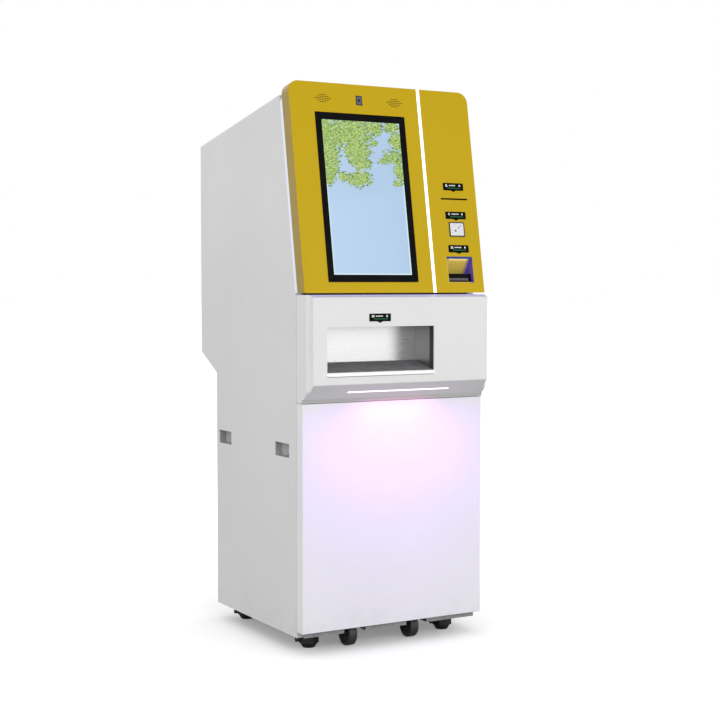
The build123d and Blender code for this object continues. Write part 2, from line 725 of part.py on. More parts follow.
def lower_door_panel():
    """Folded steel pan, open at the back, with an inward lip."""
    lip = 15.0
    pan = block(-HALF, HALF, 0, DOOR_DEPTH, DOOR_BOTTOM, DOOR_TOP)
    pan = fillet(pan.faces().sort_by(Axis.Y)[0].edges(), DOOR_EDGE)
    inside = block(-INNER, INNER, SHEET, DOOR_DEPTH + 1, DOOR_BOTTOM + SHEET, DOOR_TOP - SHEET)
    pan -= inside
    left_lip = block(-INNER - 0.5, -INNER + lip, DOOR_DEPTH - SHEET, DOOR_DEPTH, DOOR_BOTTOM, DOOR_TOP)
    bolt_hole = upright(BOLT_X, DOOR_DEPTH / 2, DOOR_TOP - 5, DOOR_TOP + 1, BOLT_RADIUS + BODY_GAP)
    return pan + left_lip - bolt_hole


def door_stiffener():
    """Hat-section stiffener behind the lower door's skin."""
    low = DOOR_BOTTOM + 40
    high = DOOR_TOP - 60
    half = 60.0
    wing = 20.0
    hat = 18.0
    rib = block(-half - wing, half + wing, SHEET, 2 * SHEET, low, high)
    rib += block(-half, half, SHEET, SHEET + hat, low, high)
    return rib - block(
        -half + SHEET, half - SHEET, SHEET - 1, hat, low - 1, high + 1
    )


def bolt_keeper():
    """Guide block on the lower door for its lock bolt."""
    y = DOOR_DEPTH / 2
    high = DOOR_TOP - 25
    low = high - 50
    half = BOLT_RADIUS + 8
    body = block(BOLT_X - half, BOLT_X + half, SHEET, y + 12, low, high)
    return body - upright(BOLT_X, y, low - 1, high + 1, BOLT_RADIUS + PIN_CLEARANCE)


def door_bolt():
    """Round bolt with a finger knob that slides up to lock the lower door from inside."""
    y = DOOR_DEPTH / 2
    rod = upright(BOLT_X, y, DOOR_TOP - 110, DOOR_TOP - SHEET - 1, BOLT_RADIUS)
    knob = along_y(BOLT_X, y, y + 22, DOOR_TOP - 102, BOLT_RADIUS)
    return rod + knob


def fascia_shell():
    """Folded skin of the fascia door: face, rounded top, sides and a level foot."""
    plate = extrude(fascia_outline(FASCIA_LENGTH, 0), amount=-FASCIA_DEPTH)
    outer = fillet(plate.faces().sort_by(Axis.Z)[-1].edges(), FASCIA_EDGE)
    core = extrude(fascia_outline(FASCIA_LENGTH, SHEET), amount=-FASCIA_DEPTH)
    inner = Pos(0, 0, -SHEET) * core
    return cut_level(on_fascia(outer), FASCIA_BOTTOM_Z) - cut_level(
        on_fascia(inner), FASCIA_BOTTOM_Z + SHEET
    )


def fascia_block(x0, x1, u0, u1, n0, n1):
    return on_fascia(block(x0, x1, u0, u1, n0, n1))


def fascia_cut(x, u, width, height):
    """Cutter for an opening through the fascia's face."""
    return fascia_block(x - width / 2, x + width / 2, u - height / 2, u + height / 2, -9, 5)


def device_cuts():
    """Openings in the right-hand skin: receipt slot, reader pad, note pocket."""
    return [
        fascia_cut(DEVICE_X, RECEIPT_U, RECEIPT_WIDTH, RECEIPT_HEIGHT),
        fascia_cut(DEVICE_X, READER_U, READER_WIDTH, READER_HEIGHT),
        fascia_cut(DEVICE_X, POCKET_U, POCKET_WIDTH, POCKET_HEIGHT),
    ]


def fascia_device_panel(shell):
    edge = DIVIDER_X + DIVIDER_WIDTH / 2
    panel = shell & fascia_block(edge, HALF + 20, -60, FASCIA_LENGTH + 20, -80, 20)
    for cut in device_cuts():
        panel -= cut
    return panel


def speaker_places():
    """Slot centres of one speaker: rows of short slots that widen to the middle."""
    places = []
    pitch_x = 8.4
    pitch_u = 5.6
    for row, count in enumerate((3, 5, 7, 5, 3)):
        u = (row - 2) * pitch_u
        for column in range(count):
            places.append(((column - (count - 1) / 2) * pitch_x, u))
    return places


def fascia_screen_panel(shell):
    edge = DIVIDER_X - DIVIDER_WIDTH / 2
    panel = shell & fascia_block(-HALF - 20, edge, -60, FASCIA_LENGTH + 20, -80, 20)
    panel -= fascia_cut(SCREEN_X, SCREEN_U, SCREEN_WIDTH, SCREEN_HEIGHT)
    panel -= fascia_cut(SCREEN_X, SPEAKER_U, CAMERA_WIDTH, CAMERA_HEIGHT)
    slots = [
        fascia_cut(SCREEN_X + side * SPEAKER_OFFSET + x, SPEAKER_U + u, 6.0, 2.2)
        for side in (-1, 1)
        for x, u in speaker_places()
    ]
    return panel - Compound(slots)


def divider_strip():
    """Lit strip between the two skins, from the foot to the rounded top."""
    half = DIVIDER_WIDTH / 2 - 0.15
    back = FRAME_FRONT_N + LUG_GAP - BODY_GAP / 2
    strip = block(DIVIDER_X - half, DIVIDER_X + half, -20, FASCIA_LENGTH, back, 0)
    return cut_level(on_fascia(strip), FASCIA_BOTTOM_Z + 0.2)


def fascia_frame():
    """Welded inner frame of the fascia door that ties both skins and carries the devices."""
    back = FRAME_FRONT_N - FRAME_SHEET
    half = FASCIA_WIDTH / 2 - SHEET - BODY_GAP
    plate = fascia_outline(FASCIA_LENGTH, SHEET + BODY_GAP)
    body = Pos(0, 0, back) * extrude(plate, amount=FRAME_SHEET)
    body -= block(-half - 1, half + 1, -40, 10, back - 1, 0)
    body -= block(
        SCREEN_X - SCREEN_WIDTH / 2 + 6, SCREEN_X + SCREEN_WIDTH / 2 - 6,
        SCREEN_U - SCREEN_HEIGHT / 2 + 6, SCREEN_U + SCREEN_HEIGHT / 2 - 6, back - 1, 0,
    )
    reach = POCKET_WIDTH / 2 + 6
    body -= block(DEVICE_X - reach, DEVICE_X + reach, 20, RECEIPT_U + 20, back - 1, 0)
    for u in FASCIA_HINGES:
        body -= block(half - 52, half + 1, u - 8, u + HINGE_HEIGHT + 8, back - 1, 0)
    body -= block(-half - 1, half + 1, SPEAKER_U - 18, SPEAKER_U + 18, back - 1, 0)
    for side in (-1, 1):
        x0, x1 = sorted((side * half, side * (half - 4)))
        body += block(x0, x1, SPEAKER_U - 19, SPEAKER_U + 19, back, FRAME_FRONT_N)
    return on_fascia(body)


def on_fascia_plan(shape):
    """A hinge made upright (x, y, z) laid into the fascia's frame (x, -n, u)."""
    return on_fascia(Rot(-90, 0, 0) * shape)


def fascia_hinge_leaves():
    x, n = FASCIA_PIVOT
    return [
        on_fascia_plan(gooseneck(x, -n, CABINET_DEPTH_N + SHEET, u, u + HINGE_HEIGHT))
        for u in FASCIA_HINGES
    ]


def fascia_pins():
    x, n = FASCIA_PIVOT
    wall = FASCIA_WIDTH / 2 - SHEET
    return [on_fascia_plan(hinge_pin(x, -n, u, u + HINGE_HEIGHT, wall)) for u in FASCIA_HINGES]


# ---- Screen and devices on the fascia ----
def screen_bezel():
    """Black frame around the display, a little proud of the yellow skin."""
    outer = RectangleRounded(SCREEN_WIDTH - BODY_GAP, SCREEN_HEIGHT - BODY_GAP, 3)
    ring = extrude(outer - Rectangle(ACTIVE_WIDTH, ACTIVE_HEIGHT), amount=BEZEL_DEPTH + BEZEL_PROUD)
    return on_fascia(Pos(SCREEN_X, SCREEN_U, -BEZEL_DEPTH) * ring)


def touch_glass():
    half = ACTIVE_WIDTH / 2
    tall = ACTIVE_HEIGHT / 2
    back = -GLASS_INSET - GLASS_SHEET
    return fascia_block(
        SCREEN_X - half, SCREEN_X + half, SCREEN_U - tall, SCREEN_U + tall, back, -GLASS_INSET
    )


def lcd_module():
    """Display case behind the glass with a raised electronics cover."""
    half = ACTIVE_WIDTH / 2
    tall = ACTIVE_HEIGHT / 2
    rim = 10.0
    case_front = -BEZEL_DEPTH - 0.2
    case_back = case_front - 21.8
    panel_front = -GLASS_INSET - GLASS_SHEET - 0.2
    case = block(-half - rim, half + rim, -tall - rim, tall + rim, case_back, case_front)
    case += block(-90, 90, -120, 120, case_back - 13, case_back + 1)
    case += block(
        -half + BODY_GAP, half - BODY_GAP, -tall + BODY_GAP, tall - BODY_GAP, case_front - 1, panel_front
    )
    return on_fascia(Pos(SCREEN_X, SCREEN_U, 0) * case)


def camera_window():
    window = RectangleRounded(CAMERA_WIDTH - BODY_GAP, CAMERA_HEIGHT - BODY_GAP, 3)
    return on_fascia(Pos(SCREEN_X, SPEAKER_U, -3) * extrude(window, amount=3.4))


def camera_module():
    body = block(SCREEN_X - 18, SCREEN_X + 18, SPEAKER_U - 15, SPEAKER_U + 15, -24, -9)
    lens = Pos(SCREEN_X, SPEAKER_U, -6.2) * Cylinder(6.5, 6)
    return on_fascia(body + lens)


def speakers():
    """Two flat loudspeakers behind the grille slots."""
    pair = []
    for side in (-1, 1):
        x = SCREEN_X + side * SPEAKER_OFFSET
        case = block(x - 35, x + 35, SPEAKER_U - 16, SPEAKER_U + 16, -20, -SHEET - 0.1)
        cone = Pos(x, SPEAKER_U, -SHEET) * Cone(10, 13, 6)
        pair.append(on_fascia(case - cone))
    return pair


def fascia_labels():
    return [on_fascia(Pos(DEVICE_X, u, 0) * label_shape()) for u in LABEL_US]


def receipt_bezel():
    """Black slot insert for the receipt."""
    half = (RECEIPT_WIDTH - BODY_GAP) / 2
    tall = (RECEIPT_HEIGHT - BODY_GAP) / 2
    insert = block(-half, half, -tall, tall, -10, 0.5)
    insert -= block(-RECEIPT_SLIT / 2, RECEIPT_SLIT / 2, -0.9, 0.9, -11, 1)
    return on_fascia(Pos(DEVICE_X, RECEIPT_U, 0) * insert)


def receipt_printer():
    """Printer body with two cheeks that hold the paper roll's spindle."""
    half = ROLL_WIDTH / 2 + 2 + CHEEK
    low = -26.0
    high = 18.0
    back = ROLL_N + ROLL_RADIUS + 6
    body = block(-half, half, low, high, back, -10.2)
    body -= block(-RECEIPT_SLIT / 2, RECEIPT_SLIT / 2, -2, 2, back - 1, -10)
    for side in (-1, 1):
        x0, x1 = sorted((side * (half - CHEEK), side * half))
        body += block(x0, x1, low, high, ROLL_N - 14, back + 1)
    body -= along_x(-half - 1, half + 1, 0, ROLL_N, SPINDLE_RADIUS + PIN_CLEARANCE)
    return on_fascia(Pos(DEVICE_X, RECEIPT_U, 0) * body)


def paper_roll():
    """Roll of receipt paper on its spindle."""
    turn = Pos(DEVICE_X, RECEIPT_U, ROLL_N) * Rot(0, 90, 0)
    roll = Cylinder(ROLL_RADIUS, ROLL_WIDTH) - Cylinder(SPINDLE_RADIUS, ROLL_WIDTH + 2)
    spindle = Cylinder(SPINDLE_RADIUS, ROLL_WIDTH + 2 * CHEEK + 12)
    return [on_fascia(turn * roll), on_fascia(turn * spindle)]


def reader_pad():
    """Framed contactless reader face."""
    half = (READER_WIDTH - BODY_GAP) / 2
    tall = (READER_HEIGHT - BODY_GAP) / 2
    border = READER_BORDER
    frame = extrude(RectangleRounded(2 * half, 2 * tall, 3), amount=2.0)
    frame += block(-half + 1, half - 1, -tall + 1, tall - 1, -6, 0.5)
    frame -= block(-half + border, half - border, -tall + border, tall - border, 0.8, 3)
    return on_fascia(Pos(DEVICE_X, READER_U, 0) * frame)


def reader_module():
    half = READER_WIDTH / 2 + 6
    tall = READER_HEIGHT / 2 + 7
    return fascia_block(
        DEVICE_X - half, DEVICE_X + half, READER_U - tall, READER_U + tall, -30, -6.2
    )


def pocket_bar(points, reach):
    """Bar across the pocket from an outline of (n, u) points."""
    face = make_face(Polyline(*points, close=True))
    return Pos(DEVICE_X, 0, 0) * Rot(0, -90, 0) * extrude(face, amount=reach, both=True)


def pocket_tray():
    """Sheet pocket: side walls and a back that slopes in from the top to the note mouth."""
    half = (POCKET_WIDTH - BODY_GAP) / 2
    low = POCKET_FOOT + BODY_GAP / 2
    high = low + POCKET_HEIGHT - BODY_GAP
    step = low + POCKET_BACK_FOOT
    back = -POCKET_DEPTH
    outline = [(0, high), (0, low), (back - SHEET, low), (back - SHEET, step), (-3 * SHEET, high)]
    hollow = [
        (1, high - SHEET), (1, low + SHEET), (back, low + SHEET), (back, step - SHEET),
        (-SHEET, high - SHEET),
    ]
    tray = pocket_bar(outline, half) - pocket_bar(hollow, half - SHEET)
    passage = block(-half + 6, half - 6, low + 4, step - 4, back - 6, back + 4)
    return on_fascia(tray - Pos(DEVICE_X, 0, 0) * passage)


def note_mouth():
    """Black outlet block standing in the foot of the pocket, with a slot and a shutter groove."""
    half = POCKET_WIDTH / 2 - BODY_GAP - SHEET
    slot_half = half - 8
    groove_half = slot_half + 3
    back = -POCKET_DEPTH + BODY_GAP
    body = block(-half, half, MOUTH_LOW, MOUTH_HIGH, back, MOUTH_FACE)
    body -= block(-slot_half, slot_half, MOUTH_LOW + 6, MOUTH_LOW + 14, back - 1, 0)
    body -= block(
        -groove_half, groove_half, MOUTH_LOW + 4, MOUTH_HIGH - 1.5, MOUTH_FACE - 4, MOUTH_FACE - 1.6
    )
    return on_fascia(Pos(DEVICE_X, 0, 0) * body)


def note_shutter():
    """Flat steel shutter that rises in its groove to open the slot."""
    half = POCKET_WIDTH / 2 - BODY_GAP - SHEET - 6
    low = MOUTH_LOW + 4.6
    front = MOUTH_FACE - 2
    return fascia_block(DEVICE_X - half, DEVICE_X + half, low, low + 10.8, front - 1.6, front)


def note_module():
    """Note transport behind the pocket."""
    front = -POCKET_DEPTH - SHEET - 6.2
    return fascia_block(
        DEVICE_X - 44, DEVICE_X + 44, POCKET_FOOT, POCKET_FOOT + 70, front - 52, front
    )


def fascia_bolt():
    """Bolt on the free edge of the fascia door that slides behind the cabinet's folded edge."""
    rod = along_x(0, 62, 0, 0, BOLT_RADIUS)
    knob = Pos(54, 0, -14) * Cylinder(BOLT_RADIUS - 1, 20)
    return on_fascia(Pos(-FASCIA_BOLT_TIP, FASCIA_BOLT_U, FASCIA_BOLT_N) * (rod + knob))


def fascia_bolt_guide():
    """Guide block that stands on the door's inner frame."""
    half = BOLT_RADIUS + 6
    frame_back = FRAME_FRONT_N - FRAME_SHEET
    guide = block(6, 36, -half, half, -half, frame_back - FASCIA_BOLT_N)
    guide -= along_x(5, 37, 0, 0, BOLT_RADIUS + PIN_CLEARANCE)
    return on_fascia(Pos(-FASCIA_BOLT_TIP, FASCIA_BOLT_U, FASCIA_BOLT_N) * guide)


# ---- Rear door ----
def rear_door_panel():
    """Service door with folded stiffening edges and a row of cooling slots."""
    half = REAR_OPENING
    low = REAR_DOOR_LOW
    high = REAR_DOOR_HIGH
    fold = 10.0
    door = block(-half, half, REAR_Y - SHEET, REAR_Y, low, high)
    for z in (low, high - SHEET):
        door += block(-half + 30, half - 60, REAR_Y - fold, REAR_Y - SHEET, z, z + SHEET)
    for slot in cooling_slots((-120, 60), REAR_Y, low + 80):
        door -= slot
    return door - along_y(LOCK_X, REAR_Y - 10, REAR_Y + 10, LOCK_Z, LOCK_RADIUS + PIN_CLEARANCE)


def rear_fixed_leaves():
    """Middle knuckle and leaf on the side panel's folded edge."""
    x, y = REAR_PIVOT
    leaves = []
    for z in REAR_HINGES:
        low = z + KNUCKLE
        leaf = upright(x, y, low, low + KNUCKLE, REAR_BARREL)
        leaf += block(x - 18, x, REAR_Y, REAR_Y + SHEET, low, low + KNUCKLE)
        bore = upright(x, y, low - 1, low + KNUCKLE + 1, REAR_PIN_RADIUS + PIN_CLEARANCE)
        leaves.append(leaf - bore)
    return leaves


def rear_door_leaves():
    """Outer knuckles, pin and leaf on the rear door."""
    x, y = REAR_PIVOT
    leaves = []
    for z in REAR_HINGES:
        leaf = upright(x, y, z, z + 3 * KNUCKLE, REAR_PIN_RADIUS)
        for low in (z, z + 2 * KNUCKLE + LUG_GAP):
            high = low + KNUCKLE - LUG_GAP
            leaf += upright(x, y, low, high, REAR_BARREL)
            leaf += block(x, x + 22, REAR_Y, REAR_Y + SHEET, low, high)
        leaves.append(leaf)
    return leaves


def rear_lock():
    """Key cylinder with a cam that hangs down when open and turns behind the folded edge."""
    plug = along_y(LOCK_X, REAR_Y - 9, REAR_Y + 3, LOCK_Z, LOCK_RADIUS)
    plug -= block(LOCK_X - 1, LOCK_X + 1, REAR_Y + 1, REAR_Y + 5, LOCK_Z - 5, LOCK_Z + 5)
    front = REAR_Y - SHEET - CATCH_GAP
    cam = block(
        LOCK_X - CAM_HALF, LOCK_X + CAM_HALF, front - 2.8, front, LOCK_Z - CAM_REACH, LOCK_Z
    )
    return plug + cam


# ---- Inside the cabinet ----
def dispenser_case():
    """Steel case, open to the front, with a shelf under each cassette."""
    case = block(-CASE_HALF, CASE_HALF, CASE_FRONT, CASE_REAR, BASE_TOP, CASE_TOP)
    for level in range(CASSETTES):
        low = BASE_TOP + CASE_WALL + level * CASSETTE_PITCH
        case -= block(
            -CASE_HALF + CASE_WALL, CASE_HALF - CASE_WALL, CASE_FRONT - 1, CASE_REAR - CASE_WALL,
            low, low + CASSETTE_PITCH - CASE_WALL,
        )
    return case


def cash_cassettes():
    """Lidded cassettes with a front grip."""
    half = CASE_HALF - CASE_WALL - 12
    front = CASE_FRONT + 6
    back = CASE_REAR - CASE_WALL - 6
    wall = 5.0
    grip = 60.0
    group = []
    for level in range(CASSETTES):
        low = BASE_TOP + CASE_WALL + level * CASSETTE_PITCH + BODY_GAP
        high = low + CASSETTE_PITCH - CASE_WALL - 16
        body = block(-half, half, front, back, low, high)
        body -= block(-grip, grip, front - 1, front + 20, low + 40, low + 80)
        body += block(-grip - 1, grip + 1, front, front + 8, low + 66, low + 76)
        body -= block(-half + wall, half - wall, front + 34, back - wall, low + wall, high - wall)
        group.append(body)
    return group


def note_elevator():
    """Flat upright transport from the dispenser to the hood over the bin."""
    half = WINDOW_WIDTH / 2 - 20
    front = BIN_BACK_Y + 4
    back = front + ELEVATOR_DEPTH
    low = CASE_TOP - 60
    high = WINDOW_TOP + 20
    duct = block(-half, half, front, back, low, high)
    duct += block(-half, half, front, back + 4, low, CASE_TOP + 60)
    duct -= block(
        -half + SHEET, half - SHEET, front + SHEET, back - SHEET, low + 10, high + 1
    )
    return Pos(WINDOW_X, 0, 0) * duct


def delivery_hood():
    """Bent hood that turns the notes over the bin's back edge."""
    half = WINDOW_WIDTH / 2 - 20
    back = BIN_BACK_Y + 4 + ELEVATOR_DEPTH
    bend = back - ELEVATOR_DEPTH - 6
    base = WINDOW_TOP + 20 + BODY_GAP
    top = base + HOOD_HEIGHT
    outer = [(back, base), (back, top), (bend, top), (0, base + 20), (0, base)]
    inner = [
        (back - SHEET, base - 1), (back - SHEET, top - SHEET), (bend + 1, top - SHEET),
        (SHEET, base + 18), (SHEET, base - 1),
    ]
    hood = side_outline(outer, WINDOW_X - half, WINDOW_X + half)
    return hood - side_outline(inner, WINDOW_X - half + SHEET, WINDOW_X + half - SHEET)


def kiosk_computer():
    """Fanless computer with cooling fins."""
    low = SHELF_Z + SHEET
    high = low + COMPUTER_HEIGHT
    back = UNIT_FRONT_Y + COMPUTER_DEPTH
    left = COMPUTER_X - COMPUTER_WIDTH / 2
    body = block(left, left + COMPUTER_WIDTH, UNIT_FRONT_Y, back, low, high)
    fin = 6.0
    pitch = (COMPUTER_WIDTH - 10 - fin) / (FINS - 1)
    for row in range(FINS):
        x = left + 5 + row * pitch
        body += block(x, x + fin, UNIT_FRONT_Y, back, high - 1, high + FIN_HEIGHT)
    return body


def power_unit():
    half = POWER_WIDTH / 2
    low = SHELF_Z + SHEET
    high = low + POWER_HEIGHT
    front = UNIT_FRONT_Y
    body = block(-half, half, front, front + POWER_DEPTH, low, high)
    body -= block(-half + 20, half - 20, front - 1, front + 1, low + 10, high - 10)
    return Pos(POWER_X, 0, 0) * body


def power_inlet():
    """Mains inlet in the rear cover."""
    face = UPPER_REAR_Y + INLET_PROUD
    rim = 2 * INLET_FLANGE
    plate = inlet_block(INLET_WIDTH + rim, INLET_HEIGHT + rim, UPPER_REAR_Y, face)
    body = inlet_block(INLET_WIDTH, INLET_HEIGHT, UPPER_REAR_Y - INLET_DEPTH, UPPER_REAR_Y)
    socket = inlet_block(SOCKET_WIDTH, SOCKET_HEIGHT, UPPER_REAR_Y - SOCKET_DEPTH, face + 1)
    return plate + body - socket


# ---- Running gear ----
def swivel_plate(x, y):
    """Fixed top plate with its raceway and kingpin."""
    plate = block(x - 30, x + 30, y - 30, y + 30, CASTER_PLATE_Z - 3, CASTER_PLATE_Z)
    race = upright(x, y, CROWN_TOP + 0.4, CASTER_PLATE_Z - 3, RACE_RADIUS)
    pin = upright(x, y, CROWN_TOP - CROWN_SHEET - 2, CROWN_TOP + 1, KINGPIN_RADIUS)
    return plate + race + pin


def caster_arms(x, y, axle_y, top):
    """Two fork arms that lean from the crown to the axle, with the axle's holes."""
    inside = WHEEL_WIDTH / 2 + ARM_GAP
    arms = []
    for side in (-1, 1):
        x0, x1 = sorted((x + side * inside, x + side * (inside + ARM_SHEET)))
        arm = side_outline(
            [
                (y - 18, top), (y + 18, top), (y + 18, top - 12),
                (axle_y + 9, AXLE_Z - 6), (axle_y - 9, AXLE_Z - 6), (axle_y - 9, AXLE_Z + 8),
            ],
            x0,
            x1,
        )
        arms.append(arm - along_x(x0 - 1, x1 + 1, axle_y, AXLE_Z, AXLE_RADIUS))
    return arms


def axle(x, axle_y):
    reach = WHEEL_WIDTH / 2 + ARM_GAP + ARM_SHEET + 2
    return along_x(x - reach, x + reach, axle_y, AXLE_Z, AXLE_RADIUS)


def swivel_fork(x, y):
    """Swivelling crown with two arms, and the axle pressed through them."""
    outside = WHEEL_WIDTH / 2 + ARM_GAP + ARM_SHEET
    low = CROWN_TOP - CROWN_SHEET
    crown = upright(x, y, low, CROWN_TOP, RACE_RADIUS)
    crown += block(x - outside, x + outside, y - 18, y + 18, low, CROWN_TOP)
    crown -= upright(x, y, low - 20, CROWN_TOP + 1, KINGPIN_RADIUS + PIN_CLEARANCE)
    for arm in caster_arms(x, y, y - CASTER_TRAIL, CROWN_TOP):
        crown += arm
    return [crown, axle(x, y - CASTER_TRAIL)]


def rigid_fork(x, axle_y):
    """Rigid caster fork: a plate bolted under the base pan and two arms, and the axle."""
    plate_y = axle_y + 16
    outside = WHEEL_WIDTH / 2 + ARM_GAP + ARM_SHEET
    plate = block(
        x - outside, x + outside, plate_y - 32, plate_y + 30, CASTER_PLATE_Z - 4, CASTER_PLATE_Z
    )
    for arm in caster_arms(x, axle_y + 2, axle_y, CASTER_PLATE_Z):
        plate += arm
    return [plate, axle(x, axle_y)]


def caster_wheel(x, axle_y):
    """Tyre on a hub that runs on the axle."""
    place = Pos(x, axle_y, AXLE_Z) * Rot(0, 90, 0)
    rim = WHEEL_RADIUS - TYRE
    tyre = Cylinder(WHEEL_RADIUS, WHEEL_WIDTH)
    tyre = fillet(tyre.edges().filter_by(GeomType.CIRCLE), 4.0) - Cylinder(rim, WHEEL_WIDTH + 2)
    hub = Cylinder(rim, WHEEL_WIDTH - 6) + Cylinder(HUB_RADIUS, WHEEL_WIDTH)
    recess = Cylinder(rim - 4, 4) - Cylinder(HUB_RADIUS, 6)
    half = WHEEL_WIDTH / 2 - 3
    hub = hub - Pos(0, 0, half) * recess - Pos(0, 0, -half) * recess
    hub = hub - Cylinder(AXLE_RADIUS + PIN_CLEARANCE, WHEEL_WIDTH + 4)
    return [place * tyre, place * hub]


def foot(x, y):
    """Rubber pad, wide adjusting nut with a side knob, and a threaded stem."""
    pad = Pos(x, y, PAD_HEIGHT / 2) * Cone(19, 27, PAD_HEIGHT)
    nut = Pos(x, y, PAD_HEIGHT) * extrude(RegularPolygon(FOOT_RADIUS, 8), amount=NUT_TOP - PAD_HEIGHT)
    nut = chamfer(nut.edges().group_by(Axis.Z)[-1], 3)
    knob = along_x(x - FOOT_RADIUS - 12, x - FOOT_RADIUS + 4, y, (PAD_HEIGHT + NUT_TOP) / 2, 7)
    stem = upright(x, y, NUT_TOP - 1, BASE_TOP + 10, STEM_RADIUS)
    return [pad, nut + knob + stem]


# ---- Write every sub-part ----
os.makedirs("parts", exist_ok=True)

save("base_pan", base_pan())
save("inner_frame", inner_frame())
save("side_panel_left", side_panel(-1))
save("side_panel_right", side_panel(1))
save("side_grip_cups", *[side_grip(side, y) for side in (-1, 1) for y in GRIP_YS])
save("roof_panel", roof_panel())
save("rear_cover", rear_cover())
save("knee_panel", knee_panel())
save("equipment_shelf", equipment_shelf())
save("mid_housing", mid_housing())
save("takeout_bin", takeout_bin())
save("bin_lip", bin_lip())
save("bin_label", bin_label())
save("ledge_light", ledge_light())
save("light_band", light_band())
save("hinge_leaves", *door_hinge_leaves(), *fascia_hinge_leaves(), *rear_fixed_leaves())
save("dispenser_case", dispenser_case())
save("cash_cassettes", *cash_cassettes())
save("note_elevator", note_elevator(), delivery_hood())
save("kiosk_computer", kiosk_computer())
save("power_unit", power_unit())
save("power_inlet", power_inlet())
save("swivel_plates", *[swivel_plate(x, CASTER_YS[1]) for x in CASTER_XS])

save("lower_door_panel", lower_door_panel() + door_stiffener() + bolt_keeper())
save("lower_door_pins", *lower_door_pins())
save("door_bolt", door_bolt())

shell = fascia_shell()
save("fascia_screen_panel", fascia_screen_panel(shell))
save("fascia_device_panel", fascia_device_panel(shell))
save("divider_strip", divider_strip())
save("fascia_frame", fascia_frame() + fascia_bolt_guide())
save("fascia_pins", *fascia_pins())
save("screen_bezel", screen_bezel())
save("touch_glass", touch_glass())
save("lcd_module", lcd_module())
save("camera", camera_window(), camera_module())
save("speakers", *speakers())
save("fascia_labels", *fascia_labels())
save("receipt_bezel", receipt_bezel())
save("receipt_printer", receipt_printer())
save("paper_roll", *paper_roll())
save("contactless_reader", reader_pad(), reader_module())
save("pocket_tray", pocket_tray())
save("note_outlet", note_mouth(), note_module())
save("note_shutter", note_shutter())
save("fascia_bolt", fascia_bolt())

save("rear_door_panel", rear_door_panel())
save("rear_door_leaves", *rear_door_leaves())
save("rear_lock", rear_lock())

for side, x in zip(("left", "right"), CASTER_XS):
    save(f"rigid_fork_{side}", *rigid_fork(x, CASTER_YS[0]))
    save(f"front_wheel_{side}", *caster_wheel(x, CASTER_YS[0]))
    save(f"swivel_fork_{side}", *swivel_fork(x, CASTER_YS[1]))
    save(f"rear_wheel_{side}", *caster_wheel(x, CASTER_YS[1] - CASTER_TRAIL))
for end, y in zip(("front", "rear"), FOOT_YS):
    for side, x in zip(("left", "right"), (-FOOT_X, FOOT_X)):
        save(f"foot_{end}_{side}", *foot(x, y))
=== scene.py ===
import json
import math

import bmesh
import bpy
from mathutils import Matrix, Vector


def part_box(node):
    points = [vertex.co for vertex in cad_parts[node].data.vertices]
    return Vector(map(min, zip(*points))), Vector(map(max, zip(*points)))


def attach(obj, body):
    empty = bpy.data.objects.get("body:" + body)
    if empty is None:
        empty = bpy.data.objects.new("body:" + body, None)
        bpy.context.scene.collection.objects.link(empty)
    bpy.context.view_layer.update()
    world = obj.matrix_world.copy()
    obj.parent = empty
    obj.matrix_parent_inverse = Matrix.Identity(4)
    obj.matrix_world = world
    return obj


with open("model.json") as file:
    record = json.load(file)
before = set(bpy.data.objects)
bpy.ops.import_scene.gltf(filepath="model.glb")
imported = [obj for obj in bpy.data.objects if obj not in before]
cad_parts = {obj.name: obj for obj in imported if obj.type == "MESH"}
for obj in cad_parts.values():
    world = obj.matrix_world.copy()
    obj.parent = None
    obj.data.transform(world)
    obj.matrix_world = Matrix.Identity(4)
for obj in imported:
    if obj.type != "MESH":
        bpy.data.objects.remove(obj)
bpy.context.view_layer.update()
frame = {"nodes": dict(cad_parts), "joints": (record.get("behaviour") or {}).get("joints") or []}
NODES = frame["nodes"]
JOINTS = {joint["name"]: joint for joint in frame["joints"]}

# ---- Named sizes, metres ----
MM = 0.001
PRINT = 0.00025            # thickness of ink on a sign plate
PRINT_DROP = 0.0115        # from a sign plate's upper edge down to the middle of its print
SCREW_RADIUS = 0.0042
SCREW_HEIGHT = 0.0017
SCREW_INSET = 0.014        # from the rear cover's edge to its screws
SCREW_ROWS = 6
SCREW_COLUMNS = (-0.14, 0.0, 0.14)
MAT_SHEET = 0.0012
MAT_RIB = 0.0009
MAT_RIBS = 44
# Height of the painted shadow line under the bin's lip.
LIP_SHADOW_HEIGHT = 0.0022
BIN_WALL = 0.0016          # the take-out bin's sheet and a hair more
BIN_WALL_ZONE = 0.002      # what lies this close to the bin's right side is its wall, which gets painted shade
STRIP_TOP = 0.761          # top of the painted shade strip at the foot of the housing
STRIP_FRONT = -0.335       # the strip is ahead of this y

# ---- Grain of the materials, waves per metre ----
CLOUD = 2.3                # slow drift of tone over a sheet
SMUDGE = 11
DUST = 26
ORANGE_PEEL = 620
SPECK = 1400

# ---- Light ----
FLOOR_HALF = 60.0          # the floor reaches this far, so that its end is never seen
FLOOR_GLOW = (0.20, 0.50)  # under the object and far from it; lifts the bare floor to white, and the lower glow under the object paints shade round it
FLOOR_GLOW_REACH = (0.40, 1.15)
SKY_LEVEL = 0.72           # light from all round
